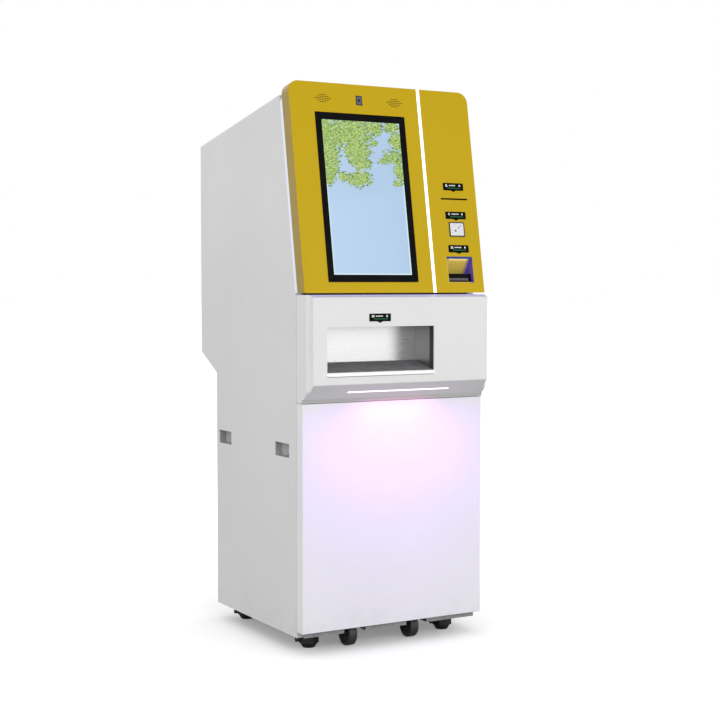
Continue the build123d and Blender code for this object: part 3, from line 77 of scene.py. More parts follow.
# Name, place, aim, width, height and watts.
STUDIO_LIGHTS = (
    ("key", (1.9, -3.9, 1.5), (0, -0.3, 0.9), 2.2, 2.6, 24),
    ("front", (-0.7, -4.7, 2.1), (0, -0.3, 0.9), 2.4, 2.4, 58),
    ("fill_left", (-4.4, -0.6, 1.5), (0, 0, 0.7), 2.6, 2.6, 44),
    ("fill_right", (4.4, 0.6, 2.2), (0, 0, 0.9), 2.6, 2.6, 34),
    ("back", (-0.5, 4.5, 2.4), (0, 0.3, 0.9), 3.0, 2.4, 34),
)
PINK = (1.0, 0.18, 0.72)
LAVENDER = (0.36, 0.08, 1.0)
PALE_LAVENDER = (0.40, 0.36, 1.0)
PALE_PINK = (1.0, 0.92, 0.95)

# ---- Camera ----
LENS = 72.951
SENSOR = 36.0
CAMERA_PLACE = (-2.2798, -4.1143, 1.1021)
CAMERA_DOWN = 3.011        # degrees below level
CAMERA_TURN = -29.762      # degrees from looking along +Y

# Fascia frame: x across, u up the slope, n outwards from the face.
UP_SLOPE = Vector(JOINTS["fascia_door_hinge"]["axis"]).normalized()
OUTWARDS = Vector((1, 0, 0)).cross(UP_SLOPE)
if OUTWARDS.y > 0:
    OUTWARDS = -OUTWARDS


# ---- Where the CAD pieces are ----
def solids_of(node):
    """Lists of corner points, one list for each separate solid of a CAD node."""
    mesh = NODES[node].data
    keys = [tuple(round(c, 6) for c in v.co) for v in mesh.vertices]
    leader = {key: key for key in keys}

    def find(key):
        while leader[key] != key:
            leader[key] = leader[leader[key]]
            key = leader[key]
        return key

    for polygon in mesh.polygons:
        first = find(keys[polygon.vertices[0]])
        for index in polygon.vertices[1:]:
            leader[find(keys[index])] = first
    groups = {}
    for key in leader:
        groups.setdefault(find(key), []).append(Vector(key))
    return sorted(groups.values(), key=lambda points: max(p.z for p in points))


def spans(points, axes):
    """(low, high) of the points along each axis."""
    return [(min(p.dot(a) for p in points), max(p.dot(a) for p in points)) for a in axes]


def middle(span):
    """Half-way between the two ends of a span."""
    return (span[0] + span[1]) / 2


FASCIA_AXES = (Vector((1, 0, 0)), UP_SLOPE, OUTWARDS)
WORLD_AXES = (Vector((1, 0, 0)), Vector((0, 0, 1)), Vector((0, -1, 0)))


def facing(axes, x, u, n):
    """Matrix that puts a shape drawn in XY on a face: x across, u up, n outwards."""
    turn = Matrix((axes[0], axes[1], axes[2])).transposed().to_4x4()
    return Matrix.Translation(axes[0] * x + axes[1] * u + axes[2] * n) @ turn


# ---- Meshes ----
def rectangle(x0, x1, y0, y1):
    return [(x0, y0), (x1, y0), (x1, y1), (x0, y1)]


def circle(radius, count=32, x=0.0, y=0.0):
    turns = [2 * math.pi * k / count for k in range(count)]
    return [(x + radius * math.cos(t), y + radius * math.sin(t)) for t in turns]


def rounded(width, height, radius, steps=5):
    """Rectangle about the origin with round corners."""
    outline = []
    for quarter, (sx, sy) in enumerate(((1, 1), (-1, 1), (-1, -1), (1, -1))):
        for step in range(steps + 1):
            t = (quarter + step / steps) * math.pi / 2
            x = sx * (width / 2 - radius) + radius * math.cos(t)
            outline.append((x, sy * (height / 2 - radius) + radius * math.sin(t)))
    return outline


def add_plate(bm, outline, low, high, place, index=0, edge=0.0):
    """Closed plate; edge chamfers its upper rim."""
    levels = [(0.0, low), (0.0, high - edge)]
    if edge:
        levels.append((edge, high))
    centre_x = sum(p[0] for p in outline) / len(outline)
    centre_y = sum(p[1] for p in outline) / len(outline)
    reach = max(max(abs(x - centre_x), abs(y - centre_y)) for x, y in outline)
    rings = []
    for inset, z in levels:
        share = 1 - inset / reach
        ring = []
        for x, y in outline:
            inset_x = centre_x + (x - centre_x) * share
            inset_y = centre_y + (y - centre_y) * share
            ring.append(bm.verts.new(place @ Vector((inset_x, inset_y, z))))
        rings.append(ring)
    close_rings(bm, rings, index)


def close_rings(bm, rings, index):
    """Walls between rings of points, and a face over each end."""
    faces = [bm.faces.new(list(reversed(rings[0]))), bm.faces.new(rings[-1])]
    for lower, upper in zip(rings, rings[1:]):
        for k in range(len(lower)):
            nxt = (k + 1) % len(lower)
            faces.append(bm.faces.new((lower[k], lower[nxt], upper[nxt], upper[k])))
    for face in faces:
        face.material_index = index


def add_band(bm, outer, inner, low, high, place, index=0):
    """Closed ring between two outlines with the same count of points."""
    def ring(outline, z):
        return [bm.verts.new(place @ Vector((x, y, z))) for x, y in outline]

    loops = [ring(outer, low), ring(outer, high), ring(inner, high), ring(inner, low)]
    for a, b in zip(loops, loops[1:] + loops[:1]):
        for k in range(len(a)):
            nxt = (k + 1) % len(a)
            face = bm.faces.new((a[k], a[nxt], b[nxt], b[k]))
            face.material_index = index


def make_piece(name, bm, body, looks, smooth=35):
    """Object from a bmesh, riding on a CAD body."""
    bmesh.ops.recalc_face_normals(bm, faces=bm.faces)
    mesh = bpy.data.meshes.new(name)
    bm.to_mesh(mesh)
    bm.free()
    for look in looks:
        mesh.materials.append(look)
    piece = bpy.data.objects.new(name, mesh)
    bpy.context.scene.collection.objects.link(piece)
    mesh.shade_smooth()
    mesh.set_sharp_from_angle(angle=math.radians(smooth))
    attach(piece, body)


# ---- Materials ----
def srgb(code):
    """Linear colour of a hexadecimal screen colour."""
    values = [int(code[k:k + 2], 16) / 255 for k in (0, 2, 4)]
    linear = [v / 12.92 if v <= 0.04045 else ((v + 0.055) / 1.055) ** 2.4 for v in values]
    return (*linear, 1.0)


def shaded(colour, factor):
    """The colour made darker, or lighter by a factor above 1."""
    return (*[c * factor for c in colour[:3]], 1.0)


class Recipe:
    """A material while it is built, with short ways to add and join its nodes."""

    def __init__(self, name):
        self.material = bpy.data.materials.new("look_" + name)
        self.material.use_nodes = True
        self.tree = self.material.node_tree
        self.surface = self.tree.nodes["Principled BSDF"]
        self.place = self.add("ShaderNodeTexCoord").outputs["Object"]

    def add(self, kind, inputs=None, **settings):
        node = self.tree.nodes.new(kind)
        for key, value in settings.items():
            setattr(node, key, value)
        for key, value in (inputs or {}).items():
            self.feed(node.inputs[key], value)
        return node

    def feed(self, socket, value):
        if isinstance(value, bpy.types.NodeSocket):
            self.tree.links.new(value, socket)
        else:
            socket.default_value = value

    def set(self, **values):
        """Sockets of the surface shader; _ stands for a space in their names."""
        for key, value in values.items():
            self.feed(self.surface.inputs[key.replace("_", " ")], value)

    def calc(self, operation, a, b=0.0):
        """Result of an arithmetic operation."""
        return self.add("ShaderNodeMath", {0: a, 1: b}, operation=operation).outputs[0]

    def dot(self, vector, place=None):
        """Length of a place, or of another vector, along a direction."""
        node = self.add("ShaderNodeVectorMath", {0: place or self.place}, operation="DOT_PRODUCT")
        node.inputs[1].default_value = vector
        return node.outputs["Value"]

    def stretched(self, scale, turn=(0, 0, 0), place=None, shift=(0, 0, 0)):
        """The place scaled along its axes, turned and shifted."""
        inputs = {"Vector": place or self.place, "Scale": scale}
        inputs.update({"Rotation": turn, "Location": shift})
        return self.add("ShaderNodeMapping", inputs).outputs[0]

    def noise(self, scale, detail=3.0, place=None, roughness=0.55):
        """Cloudy values between 0 and 1."""
        inputs = {"Vector": place or self.place, "Scale": scale}
        inputs.update({"Detail": detail, "Roughness": roughness})
        return self.add("ShaderNodeTexNoise", inputs).outputs["Fac"]

    def fit(self, value, low, high, to_low=0.0, to_high=1.0):
        """The value's range low..high spread smoothly over another."""
        inputs = {"Value": value, "From Min": low, "From Max": high}
        inputs.update({"To Min": to_low, "To Max": to_high})
        node = self.add("ShaderNodeMapRange", inputs, interpolation_type="SMOOTHSTEP")
        return node.outputs["Result"]

    def mix(self, share, a, b):
        """Colour a, or b where the share is 1."""
        node = self.add("ShaderNodeMix", data_type="RGBA")
        self.feed(node.inputs[0], share)
        self.feed(node.inputs[6], a)
        self.feed(node.inputs[7], b)
        return node.outputs[2]

    def bump(self, height, distance):
        """Relief of the surface; distance is its full height in metres."""
        node = self.add("ShaderNodeBump", {"Height": height, "Distance": distance, "Strength": 1.0})
        self.feed(self.surface.inputs["Normal"], node.outputs[0])


def powder_coat(name, colour, roughness=0.42, peel=0.00005, specular=0.35, tints=()):
    """Painted sheet: slight drift of tone, smudges, dust near the floor, orange peel.

    Each tint is a function that gives a share, and the colour that the paint takes by that share;
    the tints paint light and shade.
    """
    r = Recipe(name)
    height = r.dot((0, 0, 1))
    drift = r.fit(r.noise(CLOUD, 2), 0.3, 0.7)
    tone = r.mix(drift, shaded(colour, 0.972), colour)
    speck = r.fit(r.noise(SPECK, 1), 0.62, 0.75, 0.0, 0.10)
    tone = r.mix(speck, tone, shaded(colour, 0.8))
    # Tints: painted light and shade mixed into the colour.
    for share, other in tints:
        tone = r.mix(share(r), tone, other)
    low_down = r.fit(height, 0.16, 0.05)
    dust = r.calc("MULTIPLY", low_down, r.fit(r.noise(DUST, 5), 0.42, 0.7, 0.0, 0.09))
    tone = r.mix(dust, tone, srgb("8f8a80"))
    smudge = r.fit(r.noise(SMUDGE, 4), 0.35, 0.75, roughness - 0.05, roughness + 0.09)
    r.set(Base_Color=tone, Roughness=smudge, Specular_IOR_Level=specular)
    r.bump(r.noise(ORANGE_PEEL, 3), peel)
    return r.material


def faces_towards(r, direction, low, high, share=1.0):
    """The share on faces that look in a direction of the object's own frame, 0 on the others."""
    normal = r.add("ShaderNodeTexCoord").outputs["Normal"]
    return r.fit(r.dot(direction, normal), low, high, 0.0, share)


def painted_side_shade(r):
    """Painted shade and lavender light on the left edge of the fascia's skin, which is folded back.
    """
    return faces_towards(r, (-1, 0, 0), 0.5, 0.95, 0.75)


def painted_lavender_on_top(r):
    """Mask of painted lavender light: 1 on faces that look upwards, 0 on the others."""
    return faces_towards(r, (0, 0, 1), 0.5, 0.8)


def painted_underside_shade(r):
    """Mask of painted shade: 1 on faces that look downwards, 0 on the others."""
    return faces_towards(r, (0, 0, -1), 0.2, 0.4)


def painted_strip_shade(r):
    """Mask of painted shade: 1 on the narrow strip under the housing's slope, where the ledge
    shades it, 0 elsewhere.
    """
    soft = 0.5 * MM
    below = r.fit(r.dot((0, 0, 1)), STRIP_TOP - soft, STRIP_TOP + soft, 1.0, 0.0)
    ahead = r.fit(r.dot((0, 1, 0)), STRIP_FRONT + MM, STRIP_FRONT - MM)
    return r.calc("MULTIPLY", below, ahead)


def opal(name, colour, glow, strength):
    """Milky plastic lit from behind, a little uneven along its length; on the bin lip the glow is a
    painted highlight.
    """
    r = Recipe(name)
    cloud = r.noise(7, 2)
    lit = r.mix(r.fit(cloud, 0.3, 0.7), shaded(glow, 0.94), glow)
    frost = r.fit(r.noise(300, 2), 0.3, 0.7, 0.30, 0.42)
    r.set(Base_Color=r.mix(cloud, shaded(colour, 0.96), colour), Roughness=frost)
    r.set(Emission_Color=lit, Emission_Strength=strength, Specular_IOR_Level=0.4)
    r.bump(r.noise(900, 2), 0.00002)
    return r.material


def brushed(name, colour, roughness, lines, grain=0.00004):
    """Metal with fine lines along the axis that isn't stretched."""
    r = Recipe(name)
    streak = r.noise(1.0, 3, r.stretched(lines))
    patch = r.noise(9, 3)
    tone = r.mix(r.fit(streak, 0.3, 0.7), shaded(colour, 0.86), colour)
    tone = r.mix(r.fit(patch, 0.35, 0.8, 0.0, 0.25), tone, shaded(colour, 0.8))
    rough = r.fit(streak, 0.25, 0.75, roughness - 0.06, roughness + 0.08)
    rough = r.calc("ADD", rough, r.fit(patch, 0.4, 0.8, 0.0, 0.08))
    r.set(Base_Color=tone, Metallic=1.0, Roughness=rough)
    r.bump(streak, grain)
    return r.material


def bin_steel(name, low, high):
    """Grained stainless sheet, with painted shade that darkens it towards the bin's right wall and
    more on that wall.
    """
    r = Recipe(name)
    width = high.x - low.x
    grain = r.noise(1.0, 3, r.stretched((30, 1200, 1200)))
    fleck = r.noise(800, 2)
    both = r.calc("ADD", r.calc("MULTIPLY", grain, 0.4), r.calc("MULTIPLY", fleck, 0.6))
    tone = r.mix(r.fit(both, 0.35, 0.65), srgb("c8c8c8"), srgb("e6e6e6"))
    # Painted shade: darker towards the right wall, and darker still on the wall itself.
    x = r.dot((1, 0, 0))
    painted_shade_to_right = r.fit(x, high.x - 0.30 * width, high.x - 0.05 * width, 0.0, 0.15)
    wall_x = high.x - BIN_WALL_ZONE
    wall = r.fit(x, wall_x - 0.2 * MM, wall_x + 0.2 * MM, 0.0, 0.22)
    tone = r.mix(r.calc("ADD", painted_shade_to_right, wall), tone, srgb("303030"))
    r.set(Base_Color=tone, Metallic=1.0, Roughness=r.fit(both, 0.3, 0.7, 0.26, 0.38))
    r.bump(both, 0.00002)
    return r.material


def plastic(name, colour, roughness, grain_scale=900, grain=0.00004, specular=0.45):
    """Moulded plastic or rubber: fine grain, worn sheen, dust in its grain."""
    r = Recipe(name)
    grain_map = r.noise(grain_scale, 3)
    wear = r.noise(24, 4)
    tone = r.mix(r.fit(wear, 0.35, 0.75), colour, shaded(colour, 1.35))
    dust = r.calc("MULTIPLY", r.fit(grain_map, 0.55, 0.75), r.fit(wear, 0.45, 0.7, 0.0, 0.10))
    tone = r.mix(dust, tone, srgb("77736c"))
    r.set(Base_Color=tone, Specular_IOR_Level=specular)
    r.set(Roughness=r.fit(wear, 0.3, 0.75, roughness + 0.07, roughness - 0.07))
    r.bump(grain_map, grain)
    return r.material


def zinc(name, dark="8b8f92", light="b4b8ba"):
    """Galvanised sheet with its spangle."""
    r = Recipe(name)
    cells = r.add("ShaderNodeTexVoronoi", {"Vector": r.place, "Scale": 75.0})
    shade = r.dot((0.5, 0.3, 0.2), cells.outputs["Color"])
    tone = r.mix(shade, srgb(dark), srgb(light))
    stain = r.fit(r.noise(13, 4), 0.5, 0.8, 0.0, 0.35)
    tone = r.mix(stain, tone, srgb("7b7a76"))
    r.set(Base_Color=tone, Metallic=0.75, Roughness=r.fit(shade, 0.2, 0.8, 0.36, 0.55))
    r.bump(r.calc("ADD", shade, r.noise(400, 3)), 0.00003)
    return r.material


def paper(name):
    """Wound paper: its layers show on the ends of the roll."""
    r = Recipe(name)
    layers = r.noise(1.0, 2, r.stretched((2, 2600, 2600)))
    fibre = r.noise(500, 4)
    tone = r.mix(r.fit(layers, 0.4, 0.65), srgb("cfcdc4"), srgb("f2f1ea"))
    r.set(Base_Color=r.mix(r.fit(fibre, 0.5, 0.8, 0.0, 0.2), tone, srgb("d8d4c6")), Roughness=0.85)
    r.bump(layers, 0.00004)
    return r.material


def ink(name, colour):
    """Screen-printed ink, slightly uneven."""
    r = Recipe(name)
    cover = r.fit(r.noise(1500, 2), 0.3, 0.5)
    r.set(Base_Color=r.mix(cover, shaded(colour, 0.8), colour))
    r.set(Roughness=r.fit(r.noise(400, 2), 0.3, 0.7, 0.4, 0.55), Specular_IOR_Level=0.3)
    r.bump(r.noise(900, 2), 0.00001)
    return r.material


# Masses of leaves on the screen: middle and half width across, then the same from the top down,
# all as shares of the picture. The last number thins the leaves out.
MASSES = (
    (0.08, 0.20, 0.10, 0.13, 0.0), (0.36, 0.30, 0.08, 0.12, 0.0), (0.66, 0.14, 0.03, 0.085, 0.1),
    (0.05, 0.15, 0.26, 0.15, 0.0), (0.42, 0.20, 0.19, 0.11, 0.0), (0.04, 0.08, 0.375, 0.055, 0.0),
    (0.48, 0.13, 0.275, 0.05, 0.0), (0.42, 0.19, 0.38, 0.065, 0.1), (0.22, 0.08, 0.37, 0.04, 0.1),
    (0.66, 0.06, 0.14, 0.025, 0.1), (0.90, 0.14, 0.03, 0.05, 0.15), (0.94, 0.12, 0.12, 0.09, 0.15),
    (0.88, 0.18, 0.225, 0.06, 0.2), (0.74, 0.09, 0.255, 0.03, 0.25), (0.96, 0.10, 0.32, 0.10, 0.15),
    (0.92, 0.09, 0.395, 0.035, 0.2),
)
LEAF_TURNS = (0.4, 1.3, 2.2)   # how each of the three layers of leaves is turned
GREENS = (("3f6626", "7d9c4a"), ("5f8a38", "b6d267"), ("7fab45", "e6f3a0"))
# Branches: two ends, as shares of the picture across and of its width downwards.
BRANCHES = ((0.30, 0.50, 0.43, 0.30), (0.40, 0.72, 0.45, 0.38), (0.05, 0.30, 0.22, 0.18))


def leaf_cover(r, across, down, flat):
    """How deep inside the masses of leaves each point is, with a ragged rim."""
    ragged = r.calc("MULTIPLY", r.calc("SUBTRACT", r.noise(9, 5, flat, 0.7), 0.5), 0.8)
    cover = None
    for x, half_x, y, half_y, thin in MASSES:
        dx = r.calc("DIVIDE", r.calc("SUBTRACT", across, x), half_x)
        dy = r.calc("DIVIDE", r.calc("SUBTRACT", down, y), half_y)
        away = r.calc("SQRT", r.calc("ADD", r.calc("MULTIPLY", dx, dx), r.calc("MULTIPLY", dy, dy)))
        near = r.calc("SUBTRACT", 1.0 - thin, away)
        cover = near if cover is None else r.calc("MAXIMUM", cover, near)
    return r.calc("ADD", cover, ragged)


def open_sky(r, across, up, tall, haze):
    """Sky with a little haze, and the pale rim round the picture, a painted reflection on the
    glass.
    """
    blue = r.mix(r.calc("MULTIPLY", across, 0.7), srgb("bdd7f5"), srgb("adc9e6"))
    blue = r.mix(r.calc("MULTIPLY", haze, 0.3), blue, srgb("c2daf4"))
    # Painted reflection: a pale rim along the sides and foot of the picture.
    side = r.calc("MINIMUM", across, r.calc("SUBTRACT", 1.0, across))
    rim = r.calc("MINIMUM", side, r.calc("MULTIPLY", up, tall))
    return r.mix(r.fit(rim, 0.022, 0.010), blue, srgb("dcf3fb"))


def leaf_layer(r, picture, layer, flat, cover, mottle):
    """One layer of leaves over the picture; each leaf is a cell with its own tone."""
    turn = (0, 0, LEAF_TURNS[layer])
    place = r.stretched((1.0, 1.9, 1.0), turn, flat, (3.1 * layer, 1.7 * layer, 0))
    bend = {"Vector": place, "Scale": 14.0, "Detail": 2.0}
    bent = r.add("ShaderNodeTexNoise", bend).outputs["Color"]
    shift = r.stretched((0.05, 0.05, 0.0), place=bent)
    place = r.add("ShaderNodeVectorMath", {0: place, 1: shift}, operation="ADD").outputs[0]
    leaves = {"Vector": place, "Scale": 27.0 + 7 * layer}
    cells = r.add("ShaderNodeTexVoronoi", leaves, voronoi_dimensions="2D")
    chance = r.dot((1, 0, 0), cells.outputs["Color"])
    there = r.fit(r.calc("SUBTRACT", cover, r.calc("MULTIPLY", chance, 0.62)), -0.16, -0.10)
    leaf = r.fit(cells.outputs["Distance"], 0.60, 0.50)
    tone = r.dot((0, 0.6, 0), cells.outputs["Color"])
    tone = r.calc("ADD", tone, r.fit(mottle, 0.35, 0.65, -0.1, 0.5))
    shade = r.fit(cells.outputs["Distance"], 0.15, 0.55, 1.0, 0.55)
    dark, light = GREENS[layer]
    leaf_tone = r.mix(r.calc("MULTIPLY", tone, shade), srgb(dark), srgb(light))
    return r.mix(r.calc("MULTIPLY", there, leaf), picture, leaf_tone)


def screen_picture(name, low, width, height):
    """Sky and leaves shown by the display, under a glossy glass."""
    r = Recipe(name)
    tall = height / width
    across = r.calc("DIVIDE", r.calc("SUBTRACT", r.dot((1, 0, 0)), low[0]), width)
    up = r.calc("DIVIDE", r.calc("SUBTRACT", r.dot(tuple(UP_SLOPE)), low[1]), height)
    down = r.calc("SUBTRACT", 1.0, up)
    fall = r.calc("MULTIPLY", down, tall)
    flat = r.add("ShaderNodeCombineXYZ", {"X": across, "Y": fall}).outputs[0]

    cover = leaf_cover(r, across, down, flat)
    haze = r.fit(r.noise(2.2, 3, flat), 0.3, 0.7)
    mottle = r.noise(60, 4, flat, 0.7)
    picture = open_sky(r, across, up, tall, haze)
    picture = leaf_layer(r, picture, 0, flat, cover, mottle)
    picture = branches(r, picture, across, fall)
    for layer in (1, 2):
        picture = leaf_layer(r, picture, layer, flat, cover, mottle)
    fleck = r.fit(r.noise(58, 3, flat, 0.7), 0.60, 0.66, 0.0, 0.85)
    picture = r.mix(fleck, picture, r.mix(haze, srgb("dfeefa"), srgb("c4dcf4")))

    r.set(Base_Color=srgb("05070a"), Emission_Color=picture, Emission_Strength=0.93)
    r.set(Roughness=r.fit(r.noise(18, 4), 0.4, 0.8, 0.05, 0.12), Specular_IOR_Level=0.2)
    r.bump(r.noise(40, 1), 0.000005)
    return r.material


def branches(r, picture, across, fall):
    """Thin twigs between the leaves."""
    for x0, y0, x1, y1 in BRANCHES:
        length = math.hypot(x1 - x0, y1 - y0)
        ax, ay = (x1 - x0) / length, (y1 - y0) / length
        dx = r.calc("SUBTRACT", across, x0)
        dy = r.calc("SUBTRACT", fall, y0)
        along = r.calc("ADD", r.calc("MULTIPLY", dx, ax), r.calc("MULTIPLY", dy, ay))
        offset = r.calc("SUBTRACT", r.calc("MULTIPLY", dx, ay), r.calc("MULTIPLY", dy, ax))
        inside = r.calc("MULTIPLY", r.fit(along, 0.0, 0.01), r.fit(along, length, length - 0.01))
        thin = r.fit(r.calc("ABSOLUTE", offset), 0.007, 0.003)
        picture = r.mix(r.calc("MULTIPLY", inside, thin), picture, srgb("7d7f5a"))
    return picture


def lit_pocket(name, low, high):
    """Pocket tray: sheet colour on its back, painted violet light and glow towards its right wall,
    painted blue light on its upper rim.
    """
    r = Recipe(name)
    across = r.fit(r.dot((1, 0, 0)), low[0] + 0.78 * (high[0] - low[0]), high[0] - 4 * MM)
    rim = r.fit(r.dot(tuple(UP_SLOPE)), high[1] - 10 * MM, high[1] - 4 * MM)
    cloud = r.noise(60, 3)
    sheet = r.mix(cloud, srgb("d8bd55"), srgb("e0c660"))
    # Painted violet light towards the right wall, and painted blue light along the upper rim.
    tone = r.mix(across, sheet, r.mix(cloud, srgb("5a4a94"), srgb("6a58a6")))
    tone = r.mix(rim, tone, srgb("41589c"))
    # Painted glow towards the right wall.
    glow = r.mix(across, srgb("000000"), srgb("2a1a5a"))
    r.set(Base_Color=tone, Roughness=r.fit(cloud, 0.3, 0.7, 0.36, 0.46), Specular_IOR_Level=0.2)
    r.set(Emission_Color=glow, Emission_Strength=0.6)
    r.bump(r.noise(ORANGE_PEEL, 3), 0.00004)
    return r.material


GLASS_X, GLASS_UP = spans([v.co for v in NODES["touch_glass"].data.vertices], FASCIA_AXES)[:2]
YELLOW = (0.60, 0.405, 0.004, 1.0)
LOOKS = {
    "white_panel": powder_coat("white_panel", srgb("e6e6e6"), 0.5),
    "white_door": powder_coat("white_door", srgb("f3f3f5"), 0.42),
    "white_housing": powder_coat(
        "white_housing", srgb("ededed"), 0.36, 0.00002,
        tints=(
            # Painted lavender light on the faces of the housing that look up.
            (painted_lavender_on_top, srgb("bcbcde")),
            # Painted shade on the faces of the housing that look down.
            (painted_underside_shade, srgb("dededd")),
            # Painted shade on the strip under the housing's slope.
            (painted_strip_shade, srgb("bebebc")),
        ),
    ),
    "yellow_skin": powder_coat(
        # The left return of the yellow skin gets painted shade: a greyer, darker tone.
        "yellow_skin", YELLOW, 0.42, specular=0.14, tints=((painted_side_shade, srgb("a5905c")),)
    ),
    "stainless": brushed("stainless", srgb("e2e2e2"), 0.3, (6, 900, 900)),
    "lit_diffuser": opal("lit_diffuser", srgb("f4f4ff"), srgb("fbfbff"), 1.15),
    "light_band": opal("light_band", srgb("d6dce6"), srgb("d3dcf0"), 0.35),
    "black_plastic": plastic("black_plastic", srgb("09090b"), 0.42, specular=0.05),
    "screen_glass": screen_picture(
        "screen_glass",
        (GLASS_X[0], GLASS_UP[0]),
        GLASS_X[1] - GLASS_X[0],
        GLASS_UP[1] - GLASS_UP[0],
    ),
    "label_black": plastic("label_black", srgb("050506"), 0.25, 400, 0.00001, 0.04),
    "grip_grey": plastic("grip_grey", srgb("a6a6a7"), 0.55),
    "galvanised": zinc("galvanised"),
    "bright_steel": brushed("bright_steel", srgb("c9cacb"), 0.26, (500, 500, 12)),
    "case_grey": powder_coat("case_grey", srgb("63676b"), 0.55, 0.00012),
    "cassette": plastic("cassette", srgb("2b2e33"), 0.5),
    "aluminium": brushed("aluminium", srgb("b3b5b7"), 0.4, (300, 8, 300)),
    "black_rubber": plastic("black_rubber", srgb("333335"), 0.5, 500, 0.00006, 0.6),
    "black_steel": powder_coat("black_steel", srgb("1c1c1d"), 0.4),
    "paper": paper("paper"),
}
WHITE_INK = ink("white_ink", srgb("f4f4f4"))
GREEN_INK = ink("green_ink", srgb("0f6a35"))
DARK_INK = ink("dark_ink", srgb("2b2d31"))
SILVER = brushed("silver", srgb("d4d5d6"), 0.38, (700, 40, 40), 0.00002)
NAVY = plastic("navy", srgb("23273d"), 0.3)
SMOKE = plastic("smoke", srgb("5b6068"), 0.3, 300, 0.00001, 0.2)
BIN_MAT = plastic("bin_mat", srgb("626264"), 0.6, 700, 0.00006)
# Grey of the painted shadow line under the bin's lip.
LIP_SHADOW_GREY = plastic("gasket", srgb("8f8f90"), 0.6)
FOOT_PLASTIC = plastic("foot_plastic", srgb("202022"), 0.34, 500, 0.00004, 0.6)
FOAM = plastic("foam", srgb("2a2a20"), 0.8, 1200, 0.0001, 0.1)

for node in NODES.values():
    for place in node.material_slots:
        place.material = LOOKS[place.material.name.split(".")[0]]
pocket_x, pocket_up, pocket_out = spans(
    [v.co for v in NODES["pocket_tray"].data.vertices], FASCIA_AXES
)
# Nodes whose look differs from their slot's.
OWN_LOOKS = {
    "pocket_tray": lit_pocket("pocket", (pocket_x[0], pocket_up[0]), (pocket_x[1], pocket_up[1])),
    "base_pan": zinc("pan_zinc", "a3a4a6", "b2b3b4"),
    "takeout_bin": bin_steel("bin_steel", *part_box("takeout_bin")),
    # The lip is no lamp: its glow is a painted highlight.
    "bin_lip": opal("lip", srgb("f2f2f2"), (1, 1, 1, 1), 0.22),
    "note_shutter": brushed("dark_steel", srgb("57575a"), 0.34, (8, 900, 900)),
    "contactless_reader": NAVY,
    "camera": NAVY,
    "foot_front_left": FOOT_PLASTIC,
    "foot_front_right": FOOT_PLASTIC,
    "foot_rear_left": FOOT_PLASTIC,
    "foot_rear_right": FOOT_PLASTIC,
}
for name, look in OWN_LOOKS.items():
    NODES[name].material_slots[0].material = look


# ---- Printed signs ----
def sign_print(name, body, place, bars, icon):
    """Abstract bars, a small icon, a square and a green underline on a sign plate."""
    bm = bmesh.new()

    def bar(x0, x1, y0, y1, index=0):
        add_plate(bm, rectangle(x0 * MM, x1 * MM, y0 * MM, y1 * MM), 0, PRINT, place, index)

    if icon == "slip":
        bar(-28, -23, 0, 7.5)
        bar(-22, -20, 0, 2)
    elif icon == "card":
        bar(-29, -20, 4.5, 7)
        bar(-29, -20, 0.5, 3.4)
    else:
        outer, inner = (circle(radius * MM, 20, -24.5 * MM, 3.8 * MM) for radius in (3.6, 2.2))
        add_band(bm, outer, inner, 0, PRINT, place)
    left = -15.0
    for width in bars:
        bar(left, left + width, 2.3, 5.6)
        left += width + 1.1
    bar(21, 26, 1.2, 6.6)
    bar(-22, 27, -5.6, -3.0, 1)
    make_piece(name, bm, body, (WHITE_INK, GREEN_INK))


# For each plate: widths of its bars in millimetres, and its icon.
SIGNS = (
    ((3, 5, 2.5, 6, 4), "card"),
    ((4, 2.5, 5, 3, 3, 3), "ring"),
    ((5, 3, 7, 4), "slip"),
    ((6, 2.5, 4, 3, 4), "card"),
)


def sign_prints():
    """Prints on the three plates of the fascia and the one over the bin."""
    plates = [("fascia_door", p, FASCIA_AXES) for p in solids_of("fascia_labels")]
    plates.append(("cabinet", solids_of("bin_label")[0], WORLD_AXES))
    for number, (body, points, axes) in enumerate(plates):
        across, up, out = spans(points, axes)
        spot = facing(axes, middle(across), up[1] - PRINT_DROP, out[1])
        sign_print(f"sign_print_{number + 1}", body, spot, *SIGNS[number])


# ---- Camera window and contactless reader ----
def outermost(node):
    """Spans of a fascia device's front solid."""
    fronts = [spans(points, FASCIA_AXES) for points in solids_of(node)]
    return max(fronts, key=lambda front: front[2][1])


def camera_pane():
    """Smoked window of the camera, with a ring round its lens."""
    across, up, out = outermost("camera")
    spot = facing(FASCIA_AXES, middle(across), middle(up), out[1])
    window = rounded(15.5 * MM, 23.5 * MM, 2 * MM)
    ring, hole, lens = (circle(radius * MM, 28) for radius in (4.2, 3.4, 3.0))
    bm = bmesh.new()
    add_plate(bm, window, -0.2 * MM, 0.3 * MM, spot, 0, 0.1 * MM)
    add_band(bm, ring, hole, 0.2 * MM, 0.6 * MM, spot, 1)
    add_plate(bm, lens, 0.2 * MM, 0.5 * MM, spot, 2, 0.1 * MM)
    looks = (SMOKE, NAVY, LOOKS["label_black"])
    make_piece("camera_pane", bm, "fascia_door", looks)


